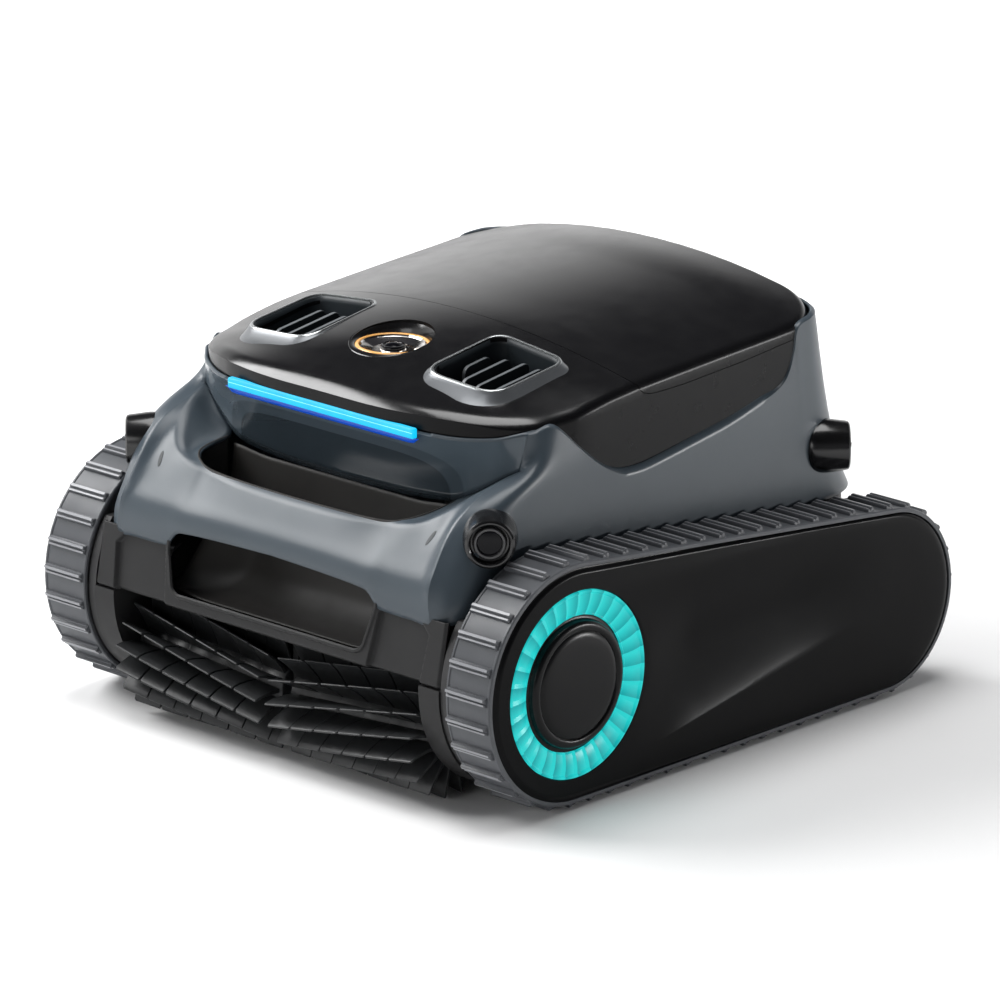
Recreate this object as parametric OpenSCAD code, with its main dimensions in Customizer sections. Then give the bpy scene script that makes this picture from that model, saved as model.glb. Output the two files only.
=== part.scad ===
// Cordless tracked robotic pool cleaner. Millimetres, +Z up, brush and handle at -Y.
// The origin is on the floor, under the middle of the machine.

/* [Tracks] */
// Distance from the front drive axle to the rear axle, along Y
wheel_base = 324; // [322:0.5:326]
// Height of the front drive axle, which is also the track's tip radius there
front_r = 89; // [88.5:0.1:89.5]
// Height of the rear axle, which is also the track's tip radius there
rear_r = 71; // [70.5:0.1:71.5]
// Inboard face of each track belt
track_in = 176.5; // [176.2:0.1:176.8]
// Width of each track belt
track_w = 41; // [40:0.5:41]
// Number of lugs on each belt
lug_count = 57; // [48:1:58]

/* [Body] */
// Half width of the shell at its lower edge
shell_hw = 171; // [170.5:0.1:171.2]
// Wall thickness of the shell and the roof panels
wall = 3; // [2.5:0.1:3.2]
// Radius of the roof's crown across the machine
roof_r = 566; // [560:1:575]
// Height of the roof ridge at the seam between front panel and lid
ridge_z = 289; // [288.5:0.5:290]

/* [Brush] */
// Outer radius of the rubber blades
brush_r = 44; // [40:0.5:44.2]
// Number of blades round each brush half
blade_count = 16; // [8:1:18]

/* [Hidden] */
$fn = 96;
e = 0.1;                 // small overrun of a cutting solid
far = 400;               // longer than the machine in any direction
fit = 0.05;              // radial clearance of a running shaft
lug_h = 3.8;             // lug height above the belt
belt_t = 2.2;            // belt thickness
front_y = -152.5;        // front drive axle
rear_y = front_y + wheel_base;
belt_drop = lug_h + belt_t;
cover_gap = 0.5;         // between belt and side cover
cover_x = 213.9;         // inboard face of the cover's front plate
cover_out = 219.3;       // outer face of the side cover
frame_x = 168.5;         // inboard face of the side frame
frame_t = 7;
shell_z = 139;           // lower edge of the shell
ring_r = 66.3;           // light ring, outer
ring_hole = 48.2;        // light ring, inner
seam_y = -50;            // roof seam on the centre line
hinge_y = 172;
roof_rear = 168.3;       // rear edge of the lid
hinge_z = 267;
gear_m = 2;              // gear module
drive_teeth = 46;
brush_teeth = 16;
pinion_teeth = 12;
gear_x = 154;            // inboard face of the gear plane
gear_w = 8;
brush_reach = gear_m * (drive_teeth + brush_teeth) / 2;
brush_y = front_y - brush_reach * cos(45);
brush_z = front_r - brush_reach * sin(45);
pinion_reach = gear_m * (drive_teeth + pinion_teeth) / 2;
pinion_y = front_y + pinion_reach * cos(45);
pinion_z = front_r - pinion_reach * sin(45);
vent_x = 89;
vent_y = -96;
pod_r = 19;              // sensor pod, largest radius
pod_len = 34;
intake_y0 = -36;         // intake slot, front and rear edges
intake_y1 = -6;
intake_hw = 75;

// ---------- helpers ----------

// Extrudes a profile drawn in (Y, Z) from x0 to x1.
module x_bar(x0, x1) {
    translate([x0, 0, 0])
        rotate([90, 0, 90])
            linear_extrude(x1 - x0)
                children();
}

// Extrudes a profile drawn in (X, Z) from y0 to y1.
module y_bar(y0, y1) {
    translate([0, y1, 0])
        rotate([90, 0, 0])
            linear_extrude(y1 - y0)
                children();
}

// A cylinder along X, from x0 to x1, at (y, z).
module x_rod(r, x0, x1, y, z) {
    translate([x0, y, z])
        rotate([0, 90, 0])
            cylinder(r = r, h = x1 - x0);
}

module block(x0, x1, y0, y1, z0, z1) {
    translate([x0, y0, z0])
        cube([x1 - x0, y1 - y0, z1 - z0]);
}

module both() {
    children();
    mirror([1, 0, 0])
        children();
}

module left() {
    mirror([1, 0, 0])
        children();
}

function arc(cx, cy, r, a0, a1, n) =
    [for (i = [0:n]) let (a = a0 + (a1 - a0) * i / n) [cx + r * cos(a), cy + r * sin(a)]];

// Plan outline with front corners of radius rf and rear corners of radius rr.
function plan(hw, front, rear, rf, rr) = concat(
    arc(hw - rf, front + rf, rf, -90, 0, 8),
    arc(hw - rr, rear - rr, rr, 0, 90, 8),
    arc(-hw + rr, rear - rr, rr, 90, 180, 8),
    arc(-hw + rf, front + rf, rf, 180, 270, 8));

// ---------- track path ----------

// The belt runs round a front and a rear circle that stand on the same floor line.
lean = asin((front_r - rear_r) / sqrt(pow(wheel_base, 2) + pow(front_r - rear_r, 2)));
slope = atan((front_r - rear_r) / wheel_base);
run = wheel_base / cos(slope) * cos(lean);
front_wrap = 180 + 2 * lean;
rear_wrap = 180 - 2 * lean;
mid_drop = lug_h + belt_t / 2;
front_arc = (front_r - mid_drop) * front_wrap * PI / 180;
rear_arc = (rear_r - mid_drop) * rear_wrap * PI / 180;
path_len = 2 * run + front_arc + rear_arc;
top_a = 90 - slope - lean;      // direction of the normal on the upper run
pitch = path_len / lug_count;

// Direction of the outward normal at distance s, starting where the rear circle meets the floor run.
function path_normal(s) =
    s < rear_arc ? top_a - rear_wrap + rear_wrap * s / rear_arc :
    s < rear_arc + run ? top_a :
    s < rear_arc + run + front_arc ? top_a + front_wrap * (s - rear_arc - run) / front_arc :
    top_a + front_wrap;

// How far along the straight run the point lies, and the circle it belongs to.
function path_centre(s) =
    s < rear_arc ? [rear_y, rear_r] :
    s < rear_arc + run ? [rear_y, rear_r]
        + (s - rear_arc) / run * [front_y - rear_y, front_r - rear_r] :
    s < rear_arc + run + front_arc ? [front_y, front_r] :
    [front_y, front_r] + (s - rear_arc - run - front_arc) / run
        * [rear_y - front_y, rear_r - front_r];

function path_radius(s) =
    s < rear_arc ? rear_r :
    s < rear_arc + run ? rear_r + (s - rear_arc) / run * (front_r - rear_r) :
    s < rear_arc + run + front_arc ? front_r :
    front_r + (s - rear_arc - run - front_arc) / run * (rear_r - front_r);

function path_point(s, drop) =
    let (w = s - path_len * floor(s / path_len))
    let (a = path_normal(w))
    path_centre(w) + (path_radius(w) - drop) * [cos(a), sin(a)];

// Smooth outline of the track, a distance drop inside the lug tips.
function loop_outline(drop) = concat(
    arc(rear_y, rear_r, rear_r - drop, top_a - rear_wrap, top_a, 40),
    arc(front_y, front_r, front_r - drop, top_a, top_a + front_wrap, 48));

lug_half = 2.2;
lug_top_half = 1.6;

// Outline of the belt with its lugs.
function lug_outline() = [for (i = [0:lug_count - 1]) let (s = pitch * (i + 0.5))
    each [path_point(s - pitch / 2, lug_h), path_point(s - pitch / 4, lug_h),
        path_point(s - lug_half, lug_h), path_point(s - lug_top_half, 0),
        path_point(s + lug_top_half, 0), path_point(s + lug_half, lug_h),
        path_point(s + pitch / 4, lug_h)]];

module track_belt() {
    guide_in = track_in + 16;
    color("dimgray") {
        x_bar(track_in, track_in + track_w)
            difference() {
                polygon(lug_outline());
                polygon(loop_outline(belt_drop));
            }
        x_bar(guide_in, guide_in + 6)
            difference() {
                polygon(loop_outline(belt_drop - e));
                polygon(loop_outline(belt_drop + 4));
            }
    }
}

// ---------- wheels, gears and drive ----------

wheel_in = track_in + 2;
wheel_out = cover_x - 3.2;
groove_in = track_in + 15;
groove_w = 8;
shaft_r = 8;

module wheel_body(r, bore, y, z, holes, hole_r, hole_pitch) {
    difference() {
        x_rod(r, wheel_in, wheel_out, y, z);
        x_rod(bore, wheel_in - 1, wheel_out + 1, y, z);
        difference() {
            x_rod(r + 1, groove_in, groove_in + groove_w, y, z);
            x_rod(r - 5, groove_in - 1, groove_in + groove_w + 1, y, z);
        }
        for (i = [0:holes - 1])
            x_rod(hole_r, wheel_in - 1, wheel_out + 1,
                y + hole_pitch * cos(360 * i / holes), z + hole_pitch * sin(360 * i / holes));
        difference() {
            x_rod(r - 8, wheel_out - 10, wheel_out + 1, y, z);
            x_rod(bore + 8, wheel_out - 11, wheel_out + 2, y, z);
        }
    }
}

module front_wheel() {
    color("darkslategray")
        wheel_body(front_r - belt_drop - 0.4, shaft_r + 0.02, front_y, front_r, 6, 12, 46);
}

module rear_wheel() {
    color("darkslategray")
        wheel_body(rear_r - belt_drop - 0.4, 6 + fit, rear_y, rear_r, 6, 9, 35);
}

// A spur gear about the origin, in (Y, Z), with one tooth centred on angle phase.
module gear_outline(teeth, phase) {
    rp = gear_m * teeth / 2;
    root = rp - 1.2 * gear_m;
    tip = rp + 0.8 * gear_m;
    half = 1.32;
    k = 180 / PI;
    polygon([for (i = [0:teeth - 1]) let (c = phase + 360 * i / teeth)
        each [for (q = [[root, -half - 0.85], [tip, -half + 0.6], [tip, half - 0.6], [root, half + 0.85]])
            q[0] * [cos(c + q[1] / rp * k), sin(c + q[1] / rp * k)]]]);
}

// Phase that meshes a follower with a drive gear whose tooth 0 points along angle 0.
function mesh_phase(dir, teeth) =
    let (part = dir * drive_teeth / 360)
    dir + 180 - (0.5 - part) * 360 / teeth;

module drive_gear() {
    color("goldenrod") {
        translate([gear_x, front_y, front_r])
            rotate([90, 0, 90])
                linear_extrude(gear_w)
                    difference() {
                        gear_outline(drive_teeth, 0);
                        for (i = [0:5])
                            rotate(60 * i)
                                translate([27, 0])
                                    circle(r = 9);
                    }
        x_rod(shaft_r, gear_x - 1.5, wheel_out - 1, front_y, front_r);
    }
}

module motor_pinion() {
    color("silver") {
        translate([gear_x + 0.5, pinion_y, pinion_z])
            rotate([90, 0, 90])
                linear_extrude(gear_w - 1)
                    gear_outline(pinion_teeth, mesh_phase(-45, pinion_teeth));
        x_rod(3, 147, gear_x + 1, pinion_y, pinion_z);
    }
}

core_r = 18;
neck_r = 8;
axle_r = 4;

// One ring of rubber fingers round the core, in (Y, Z).
module blade_star(turn) {
    circle(r = core_r);
    for (i = [0:blade_count - 1])
        rotate(turn + 360 * i / blade_count)
            translate([core_r - 2, -1])
                square([brush_r - core_r + 2, 2]);
}

module brush_half() {
    chevron = 34;
    finger_count = 6;
    brush_x0 = 4;
    brush_x1 = 147;
    finger_w = (brush_x1 - brush_x0 - 1) / finger_count;
    color("black")
        difference() {
            union() {
                x_rod(neck_r, brush_x0, gear_x + gear_w, brush_y, brush_z);
                for (k = [0:finger_count - 1])
                    translate([brush_x0 + 0.5 + k * finger_w, brush_y, brush_z])
                        rotate([90, 0, 90])
                            linear_extrude(finger_w)
                                blade_star(chevron * (0.5 - k / finger_count));
                translate([gear_x, brush_y, brush_z])
                    rotate([90, 0, 90])
                        linear_extrude(gear_w)
                            gear_outline(brush_teeth, mesh_phase(225, brush_teeth));
            }
            x_rod(axle_r + fit, 0, gear_x + gear_w + 1, brush_y, brush_z);
        }
}

module brush_axle() {
    color("silver")
        x_rod(axle_r, -166.5, 166.5, brush_y, brush_z);
}

module brush_bracket() {
    color("dimgray")
        difference() {
            union() {
                x_rod(10, -2.5, 2.5, brush_y, brush_z);
                block(-2.5, 2.5, brush_y - 8, brush_y + 8, brush_z, 92.8);
            }
            x_rod(axle_r + 0.02, -3, 3, brush_y, brush_z);
        }
}

// Drive case outline: round the drive gear, round the pinion, and forward round the brush gear.
module case_outline(t) {
    translate([front_y, front_r])
        circle(r = 52 - t);
    translate([pinion_y, pinion_z])
        circle(r = 18.5 - t);
    intersection() {
        translate([front_y, front_r])
            circle(r = 83.5 - t);
        translate([-240 + t, 4 + t])
            square([95 - 2 * t, 88.7 - 2 * t]);
    }
}

module gear_case() {
    color("dimgray")
        difference() {
            x_bar(149, 168.2)
                case_outline(0);
            x_bar(151.5, 165)
                case_outline(2.2);
            x_rod(shaft_r + fit, 160, 170, front_y, front_r);
            x_rod(neck_r + fit, 148, 153, brush_y, brush_z);
            x_rod(axle_r + 0.02, 160, 167, brush_y, brush_z);
            x_rod(3 + fit, 148, 153, pinion_y, pinion_z);
        }
}

module drive_motors() {
    color("slategray")
        both() {
            difference() {
                x_rod(19, 92, 148.8, pinion_y, pinion_z);
                x_rod(3 + 0.1, 146, 149, pinion_y, pinion_z);
            }
            x_rod(8, 86, 92.5, pinion_y, pinion_z);
        }
}

module side_frame() {
    color("dimgray")
        difference() {
            x_bar(frame_x, frame_x + frame_t)
                intersection() {
                    union() {
                        translate([front_y, front_r])
                            circle(r = 82);
                        polygon([[front_y, 13], [190, 13], [202, 30], [202, 90],
                            [158, 138.7], [front_y, 138.7]]);
                    }
                    translate([-240, 7.5])
                        square([450, 131.2]);
                }
            x_rod(shaft_r + fit, frame_x - 1, track_in, front_y, front_r);
            x_rod(6.02, frame_x - 1, track_in, rear_y, rear_r);
        }
}

module rear_axles() {
    color("silver")
        both()
            x_rod(6, frame_x + 0.5, 212, rear_y, rear_r);
}

module track_cores() {
    core_y0 = -60;
    core_y1 = 98;
    color("dimgray")
        both()
            difference() {
                block(frame_x + frame_t, 211.2, core_y0, core_y1, 12, 128);
                block(track_in, 207, core_y0 + 8, core_y1 - 8, 22, 118);
                for (y = [core_y0 + 20, core_y1 - 20])
                    x_rod(1.6, 206, 212, y, 70);
            }
}

module side_cover() {
    step = 2;                // setback of the outer face's edge
    color("black")
        difference() {
            union() {
                x_bar(cover_x - 2.5, cover_out - step)
                    polygon(loop_outline(belt_drop + cover_gap));
                x_bar(cover_out - step, cover_out)
                    polygon(loop_outline(belt_drop + cover_gap + step));
            }
            x_rod(ring_r + 0.2, cover_x, cover_out + 1, front_y, front_r);
            x_rod(6.1, cover_x - 3, 212.2, rear_y, rear_r);
        }
}

module light_ring() {
    color("cyan")
        translate([cover_x, front_y, front_r])
            rotate([0, 90, 0])
                rotate_extrude()
                    polygon([[ring_hole, 0], [ring_r, 0], [ring_r, 6], [ring_r - 2, 7],
                        [ring_hole + 3, 5.2], [ring_hole, 4.4]]);
}

module hub_cap() {
    color("black")
        translate([cover_x, front_y, front_r])
            rotate([0, 90, 0])
                rotate_extrude()
                    polygon([[0, 0], [ring_hole - 0.2, 0], [ring_hole - 0.2, 3.6],
                        [41.5, 4.8], [38, 7.2], [0, 7.9]]);
}

// ---------- roof ----------

// Everything below one arched plane: ridge through (y, z), rising by tilt towards the rear.
module arch(y, z, tilt, t) {
    translate([0, y, z])
        rotate([tilt, 0, 0])
            translate([0, 0, -roof_r])
                rotate([90, 0, 0])
                    cylinder(r = roof_r - t, h = 2 * far, center = true, $fn = 240);
}

// Solid under the roof surface, inset by t.
module roof(t) {
    intersection() {
        translate([0, 0, 240])
            linear_extrude(70)
                polygon(plan(165.5 - t, -179 + t, roof_rear - t, 65 - t, 46 - t));
        arch(seam_y, ridge_z, 2.6, t);
        arch(seam_y, ridge_z, 8.1, t);
        arch(-109, 280.6, 20, t);
    }
}

// Side profile of the rounded fender that carries the handle, inset by t.
function fender_profile(t) = [[-226 + t, shell_z - e], [-228 + t, 150], [-226.5 + t, 160],
    [-219.5 + t, 171], [-213 + t, 182 - t], [-207 + t, 191 - t], [-195.5, 202 - t],
    [-176, 213 - t], [-156, 219 - t], [-140, 221 - t], [182 - t, 221 - t],
    [189 - t, 194], [199 - t, 165], [210 - t, shell_z - e]];

// Side profile of the cabin above the fender, inset by t.
function cabin_profile(t) = [[-150 + t, 196], [-178 + t, 242], [-179 + t, 250],
    [-179 + t, 300], [172 - t, 300], [172.5 - t, 264], [176 - t, 250],
    [189 - t, 196]];

// Front profile: the sides lean in towards the roof.
function side_profile(t) = [[-shell_hw + t, shell_z - 1], [-shell_hw + t, 150],
    [-168.5 + t, 200], [-166 + t, 262], [-166 + t, 300], [166 - t, 300], [166 - t, 262],
    [168.5 - t, 200], [shell_hw - t, 150], [shell_hw - t, shell_z - 1]];

module hull_block(t) {
    intersection() {
        union() {
            x_bar(-far, far)
                polygon(fender_profile(t));
            intersection() {
                x_bar(-far, far)
                    polygon(cabin_profile(t));
                translate([0, 0, 180])
                    linear_extrude(130)
                        polygon(plan(166 - t, -179 + t, 214, 65 - t, 46));
            }
        }
        y_bar(-far, far)
            polygon(side_profile(t));
        linear_extrude(far)
            polygon(plan(shell_hw - t, -228 + t, 210 - t, 40, 42));
    }
}

// Upper edge of the shell in side view, and the lower edge of the black roof pieces above it.
function belt_line(lift) = [[-230, 246 + lift], [-179, 246 + lift], [-117 + lift, 253 + lift],
    [-97 + lift, 234 + lift], [-76 + lift, 217 + lift], [-55, 206 + lift], [-36, 204 + lift],
    [25, 212 + lift], [87 - lift, 225 + lift], [108 - lift, 231 + lift], [119 - lift, 240 + lift],
    [126 - lift, 258 + lift], [129 - lift, 263 + lift], [230, 263 + lift]];

// Lower edge of the lid's skirt in side view.
function lid_line(lift) = [[-48 + lift, 320], [-38 + lift, 268], [-29, 257 + lift],
    [-18, 255.5 + lift], [11, 255.5 + lift], [73, 258.8 + lift], [125, 263.4 + lift],
    [230, 263.4 + lift]];

// The seam bows rearward at the sides.
function seam_plan(shift) =
    [for (x = [-180:30:180]) [x, seam_y + shift + 12 * pow(x / 162, 2)]];

gap_hw = 106;            // half width of the hand gap
gap_front = -201;
gap_rear = -160;
panel_hw = 121;          // half width of the sloped panel over the gap

// The space round the carrying bar: a straight slot with a flared mouth over it.
module hand_gap() {
    mouth_hw = 148;
    mouth_front = -226;
    mouth_z = 222;
    slot_z = 186;
    intersection() {
        x_bar(-far, far)
            polygon([[gap_front, slot_z], [-151, slot_z], [-140, mouth_z], [-140, mouth_z + 8],
                [mouth_front, mouth_z + 8], [mouth_front, mouth_z]]);
        y_bar(-far, far)
            polygon([[-gap_hw, slot_z], [gap_hw, slot_z], [mouth_hw, mouth_z],
                [mouth_hw, mouth_z + 8], [-mouth_hw, mouth_z + 8], [-mouth_hw, mouth_z]]);
        translate([0, 0, slot_z - 1])
            linear_extrude(mouth_z)
                polygon(plan(mouth_hw, mouth_front, -139, 46, 4));
    }
    translate([0, 0, 100])
        linear_extrude(95)
            polygon(plan(gap_hw, gap_front, gap_rear + 4, 12, 4));
}

module upper_shell() {
    color("slategray")
        difference() {
            hull_block(0);
            difference() {
                hull_block(wall);
                block(-128, 128, -240, -147.5, 100, 196);
            }
            x_bar(-far, far)
                polygon(concat(belt_line(0), [[230, 320], [-230, 320]]));
            difference() {
                hand_gap();
                hull_block_cabin();
            }
            x_bar(-panel_hw - 0.2, panel_hw + 0.2)
                polygon([[-152.5, 196], [-180.2, 241], [-171, 241], [-142, 196]]);
            block(-gap_hw, gap_hw, gap_rear, -140, 100, 200);
            for (s = [-1, 1])
                block(s * 132.5 - 0.6, s * 132.5 + 0.6, -230, -203, 183, 192);
            pod_seats();
            x_bar(-far, far)
                translate([front_y, front_r])
                    circle(r = 53);
            block(-200, 200, -228.5, -190, shell_z - 1, shell_z);
        }
}

// The cabin nose, which the hand gap leaves standing.
module hull_block_cabin() {
    intersection() {
        x_bar(-125, 125)
            polygon(cabin_profile(-0.01));
        block(-125, 125, -180, -140, 194, 300);
    }
}

module cavity_panel() {
    color("darkslategray")
        x_bar(-panel_hw, panel_hw)
            polygon([[-150.4, 196.8], [-177, 240.5], [-173.6, 240.5], [-147, 196.8]]);
}

module cavity_scoop() {
    hw = gap_hw - 0.5;
    color("black")
        x_bar(-hw, hw)
            polygon([[-204.8, 97], [-204.8, 101], [-186, 104], [-170, 116], [-162, 134],
                [-158.5, 160], [-152, 190], [-148, 195.5], [-145, 195.5], [-149, 188],
                [-155.5, 160], [-159, 133], [-167.5, 113.5], [-185, 100]]);
}

module front_frame() {
    pocket_x0 = 100;
    pocket_x1 = 146;
    color("dimgray")
        difference() {
            x_bar(-168.2, 168.2)
                polygon([[-236, 93], [-228.5, 132], [-227.2, shell_z - 0.2],
                    [-205, shell_z - 0.2], [-205, 93]]);
            x_bar(-147, 147)
                polygon([[-231, 96.5], [-224, 133], [-224, shell_z], [-204, shell_z], [-204, 96.5]]);
            x_bar(-96, 96)
                polygon([[-240, 104], [-240, shell_z], [-220, shell_z], [-220, 104]]);
            both() {
                x_bar(pocket_x0, pocket_x1)
                    polygon([[-240, 92], [-240, 133.5], [-226.4, 133.5], [-234, 92]]);
                x_bar(149.5, 165.5)
                    polygon([[-232, 97], [-226, 130], [-224, 135], [-204, 135], [-204, 97]]);
            }
        }
}

module light_strip() {
    color("deepskyblue")
        x_bar(-90, 90)
            polygon([[-178.6, 246.8], [-178.4, 251.5], [-174, 251.5], [-174, 246.8]]);
}

module vent_hole(grow) {
    translate([vent_x, vent_y - 4, 240])
        linear_extrude(70)
            polygon(plan(33 + grow, -33 - grow, 36 + grow, 12, 12));
}

module sensor_hole(r) {
    translate([0, -107, 240])
        cylinder(r = r, h = 60);
}

module top_frame() {
    color("black")
        difference() {
            intersection() {
                union() {
                    roof(0);
                    intersection() {
                        hull_block(0);
                        x_bar(-far, far)
                            polygon(concat(belt_line(0.3), [[230, 268], [-230, 268]]));
                    }
                }
                x_bar(-far, far)
                    polygon(concat(belt_line(0.3), [[230, 320], [-230, 320]]));
            }
            roof(wall);
            intersection() {
                hull_block(wall);
                block(-far, far, -far, far, 100, 240 + e);
            }
            block(-160, 160, -60, 200, 236, 262);
            intersection() {
                x_bar(-far, far)
                    polygon(concat(lid_line(-0.3), [[230, 330], [-48, 330]]));
                translate([0, 0, 200])
                    linear_extrude(130)
                        polygon(concat(seam_plan(-0.3), [[180, 230], [-180, 230]]));
            }
            block(-200, 200, 128, 230, 190, 330);
            both()
                vent_hole(0.2);
            sensor_hole(31.2);
            x_bar(-90.2, 90.2)
                polygon([[-181, 246], [-181, 251.7], [-173.8, 251.7], [-173.8, 246]]);
        }
}

module filter_lid() {
    knuckle = 3.4;
    color("black") {
        difference() {
            roof(0);
            difference() {
                roof(wall);
                block(55, 95, 166, 172, 250, 262);
            }
            x_bar(-far, far)
                polygon(concat(lid_line(0), [[230, 180], [-230, 180], [-230, 330], [-48, 330]]));
            translate([0, 0, 200])
                linear_extrude(130)
                    polygon(concat(seam_plan(0), [[180, -230], [-180, -230]]));
        }
        both()
            difference() {
                union() {
                    x_rod(knuckle, 67, 83, hinge_y, hinge_z);
                    block(67, 83, roof_rear - 1, hinge_y, hinge_z - knuckle, hinge_z + 3);
                }
                x_rod(1.5 + fit, 60, 90, hinge_y, hinge_z);
            }
    }
}

module lid_hinge_pins() {
    color("silver")
        both() {
            x_rod(1.5, 60, 90, hinge_y, hinge_z);
            for (x = [59, 83.5])
                difference() {
                    union() {
                        x_rod(3.2, x, x + 7.5, hinge_y, hinge_z);
                        block(x, x + 7.5, hinge_y - 1.2, hinge_y + 1.2, 263.2, hinge_z);
                    }
                    x_rod(1.4, 58, 92, hinge_y, hinge_z);
                }
        }
}

// ---------- filter bay ----------

bay_hw = 140;
bay_y0 = -44;
bay_y1 = 156;
bay_z0 = 118;
bay_z1 = 248;

// An open-topped box with walls of thickness t.
module open_box(hw, y0, y1, z0, z1, t) {
    difference() {
        block(-hw, hw, y0, y1, z0, z1);
        block(-hw + t, hw - t, y0 + t, y1 - t, z0 + t, z1 + 1);
    }
}

module filter_tub() {
    color("gray")
        difference() {
            union() {
                open_box(bay_hw, bay_y0, bay_y1, bay_z0, bay_z1, 2.5);
                difference() {
                    block(-bay_hw - 8, bay_hw + 8, bay_y0 - 4, bay_y1 + 6, bay_z1 - 3, bay_z1);
                    block(-bay_hw + 1, bay_hw - 1, bay_y0 + 1, bay_y1 - 1, bay_z1 - 4, bay_z1 + 1);
                }
            }
            block(-intake_hw, intake_hw, intake_y0, intake_y1, bay_z0 - 1, bay_z0 + 4);
            for (s = [-1, 1])
                block(s * 90 - 30, s * 90 + 30, bay_y0 - 1, bay_y0 + 4, 150, 162);
        }
}

module lid_gasket() {
    color("dimgray")
        translate([0, 0, bay_z1])
            linear_extrude(2)
                difference() {
                    polygon(plan(bay_hw + 6, bay_y0 - 2, bay_y1 + 4, 8, 8));
                    polygon(plan(bay_hw + 2, bay_y0 + 2, bay_y1, 6, 6));
                }
}

basket_gap = 3.5;
basket_win_y = [-24, 37, 98];

module filter_basket() {
    hw = bay_hw - basket_gap;
    y0 = bay_y0 + basket_gap;
    y1 = bay_y1 - basket_gap;
    z0 = bay_z0 + basket_gap;
    z1 = bay_z1 - 4;
    color("lightslategray")
        difference() {
            open_box(hw, y0, y1, z0, z1, 2.4);
            block(-intake_hw + 3, intake_hw - 3, intake_y0 + 3, intake_y1 - 3, z0 - 1, z0 + 4);
            for (y = basket_win_y)
                block(-hw - 1, hw + 1, y, y + 45, z0 + 14, z1 - 18);
            for (x = [-118, -38, 42])
                block(x, x + 74, y1 - 4, y1 + 1, z0 + 14, z1 - 18);
        }
}

module basket_mesh() {
    hw = bay_hw - basket_gap - 0.8;
    z0 = bay_z0 + basket_gap + 14.1;
    z1 = bay_z1 - 22.1;
    color("white")
        both()
            for (y = basket_win_y)
                block(hw - 0.8, hw, y + e, y + 45 - e, z0, z1);
}

module intake_duct() {
    color("gray")
        difference() {
            block(-intake_hw - 2.5, intake_hw + 2.5, intake_y0 - 2.5, intake_y1 + 2.5, 16, bay_z0);
            block(-intake_hw, intake_hw, intake_y0, intake_y1, 10, bay_z0 + 5);
        }
}

flap_z = bay_z0 + basket_gap + 2.4 + 2.2;

module intake_flap() {
    color("dimgray") {
        block(-70, 70, intake_y0 + 6, intake_y1 + 1, flap_z - 1.4, flap_z + 0.6);
        x_rod(1.6, -78, 78, intake_y0 + 4.5, flap_z);
        block(-70, 70, intake_y0 + 4.5, intake_y0 + 7, flap_z - 0.8, flap_z + 0.6);
    }
}

module battery_pack() {
    color("royalblue")
        block(-95, 95, 4, 150, 58, 112);
}

module control_box() {
    color("olivedrab")
        block(-80, 80, 6, 130, 18, 52);
}

module pump_motors() {
    color("slategray")
        both() {
            difference() {
                translate([vent_x, vent_y, 102])
                    cylinder(r = 19, h = 50);
                translate([vent_x, vent_y, 150])
                    cylinder(r = 3.3, h = 3);
            }
            for (a = [45:90:315])
                translate([vent_x, vent_y, 0])
                    rotate(a)
                        block(17, 35, -1.5, 1.5, 140, 158);
        }
}

module pump_ducts() {
    color("gray")
        both()
            translate([vent_x, vent_y, 158])
                difference() {
                    cylinder(r = 36, h = 90);
                    translate([0, 0, -1])
                        cylinder(r = 32, h = 92);
                }
}

module impeller() {
    color("orange")
        translate([vent_x, vent_y, 0]) {
            translate([0, 0, 150.5])
                cylinder(r = 3, h = 16);
            translate([0, 0, 166])
                cylinder(r = 9, h = 16);
            for (i = [0:4])
                rotate(72 * i)
                    translate([7, -1.5, 167])
                        rotate([35, 0, 0])
                            cube([22.5, 3, 14]);
        }
}

// ---------- lower body ----------

screw_spots = [[-150, -120], [150, -120], [-150, 40], [150, 40], [-150, 180], [150, 180],
    [-100, 180], [100, 180]];

rear_split = 130;        // where the rear wall's side arms start

module bottom_plate() {
    color("dimgray")
        difference() {
            union() {
                block(-168.2, 168.2, -143, rear_split - 0.2, 12, 16);
                translate([0, 0, 12])
                    linear_extrude(4)
                        polygon(plan(163.2, 0, 196, 4, 37));
            }
            block(-intake_hw, intake_hw, intake_y0, intake_y1, 10, 20);
            for (p = screw_spots)
                translate([p[0], p[1], 11])
                    cylinder(r = 3.6, h = 6);
        }
}

module chassis_screws() {
    color("silver")
        for (p = screw_spots)
            translate([p[0], p[1], 12.6]) {
                difference() {
                    cylinder(r = 3.4, h = 2.4);
                    translate([0, 0, -1])
                        cylinder(r = 1.6, h = 2.4, $fn = 6);
                }
                cylinder(r = 1.5, h = 8);
            }
}

// The lower body's rear wall, with its rounded corners.
module rear_panel() {
    color("dimgray")
        translate([0, 0, 12])
            linear_extrude(shell_z - 12.2)
                difference() {
                    polygon(plan(168.2, rear_split, 201, 0.1, 42));
                    polygon(plan(163.4, rear_split - 20, 196.2, 4, 37.2));
                }
}

// ---------- sensors ----------

// Puts a sensor pod, built along +Z with its tip at the origin, at one corner of the shell.
module pod_at(sx, sy) {
    front = [177.5, 195.5, 189];
    rear = [178, 172.4, 178];
    tip = sy < 0 ? front : rear;
    translate([sx * tip[0], sy * tip[1], tip[2]])
        rotate([90, 0, atan2(sy, sx) + 90])
            children();
}

module each_pod() {
    for (sx = [-1, 1])
        for (sy = [-1, 1])
            pod_at(sx, sy)
                children();
}

module pod_seats() {
    each_pod()
        translate([0, 0, -pod_len - 12])
            cylinder(r = pod_r + 0.4, h = pod_len + 12);
}

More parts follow.
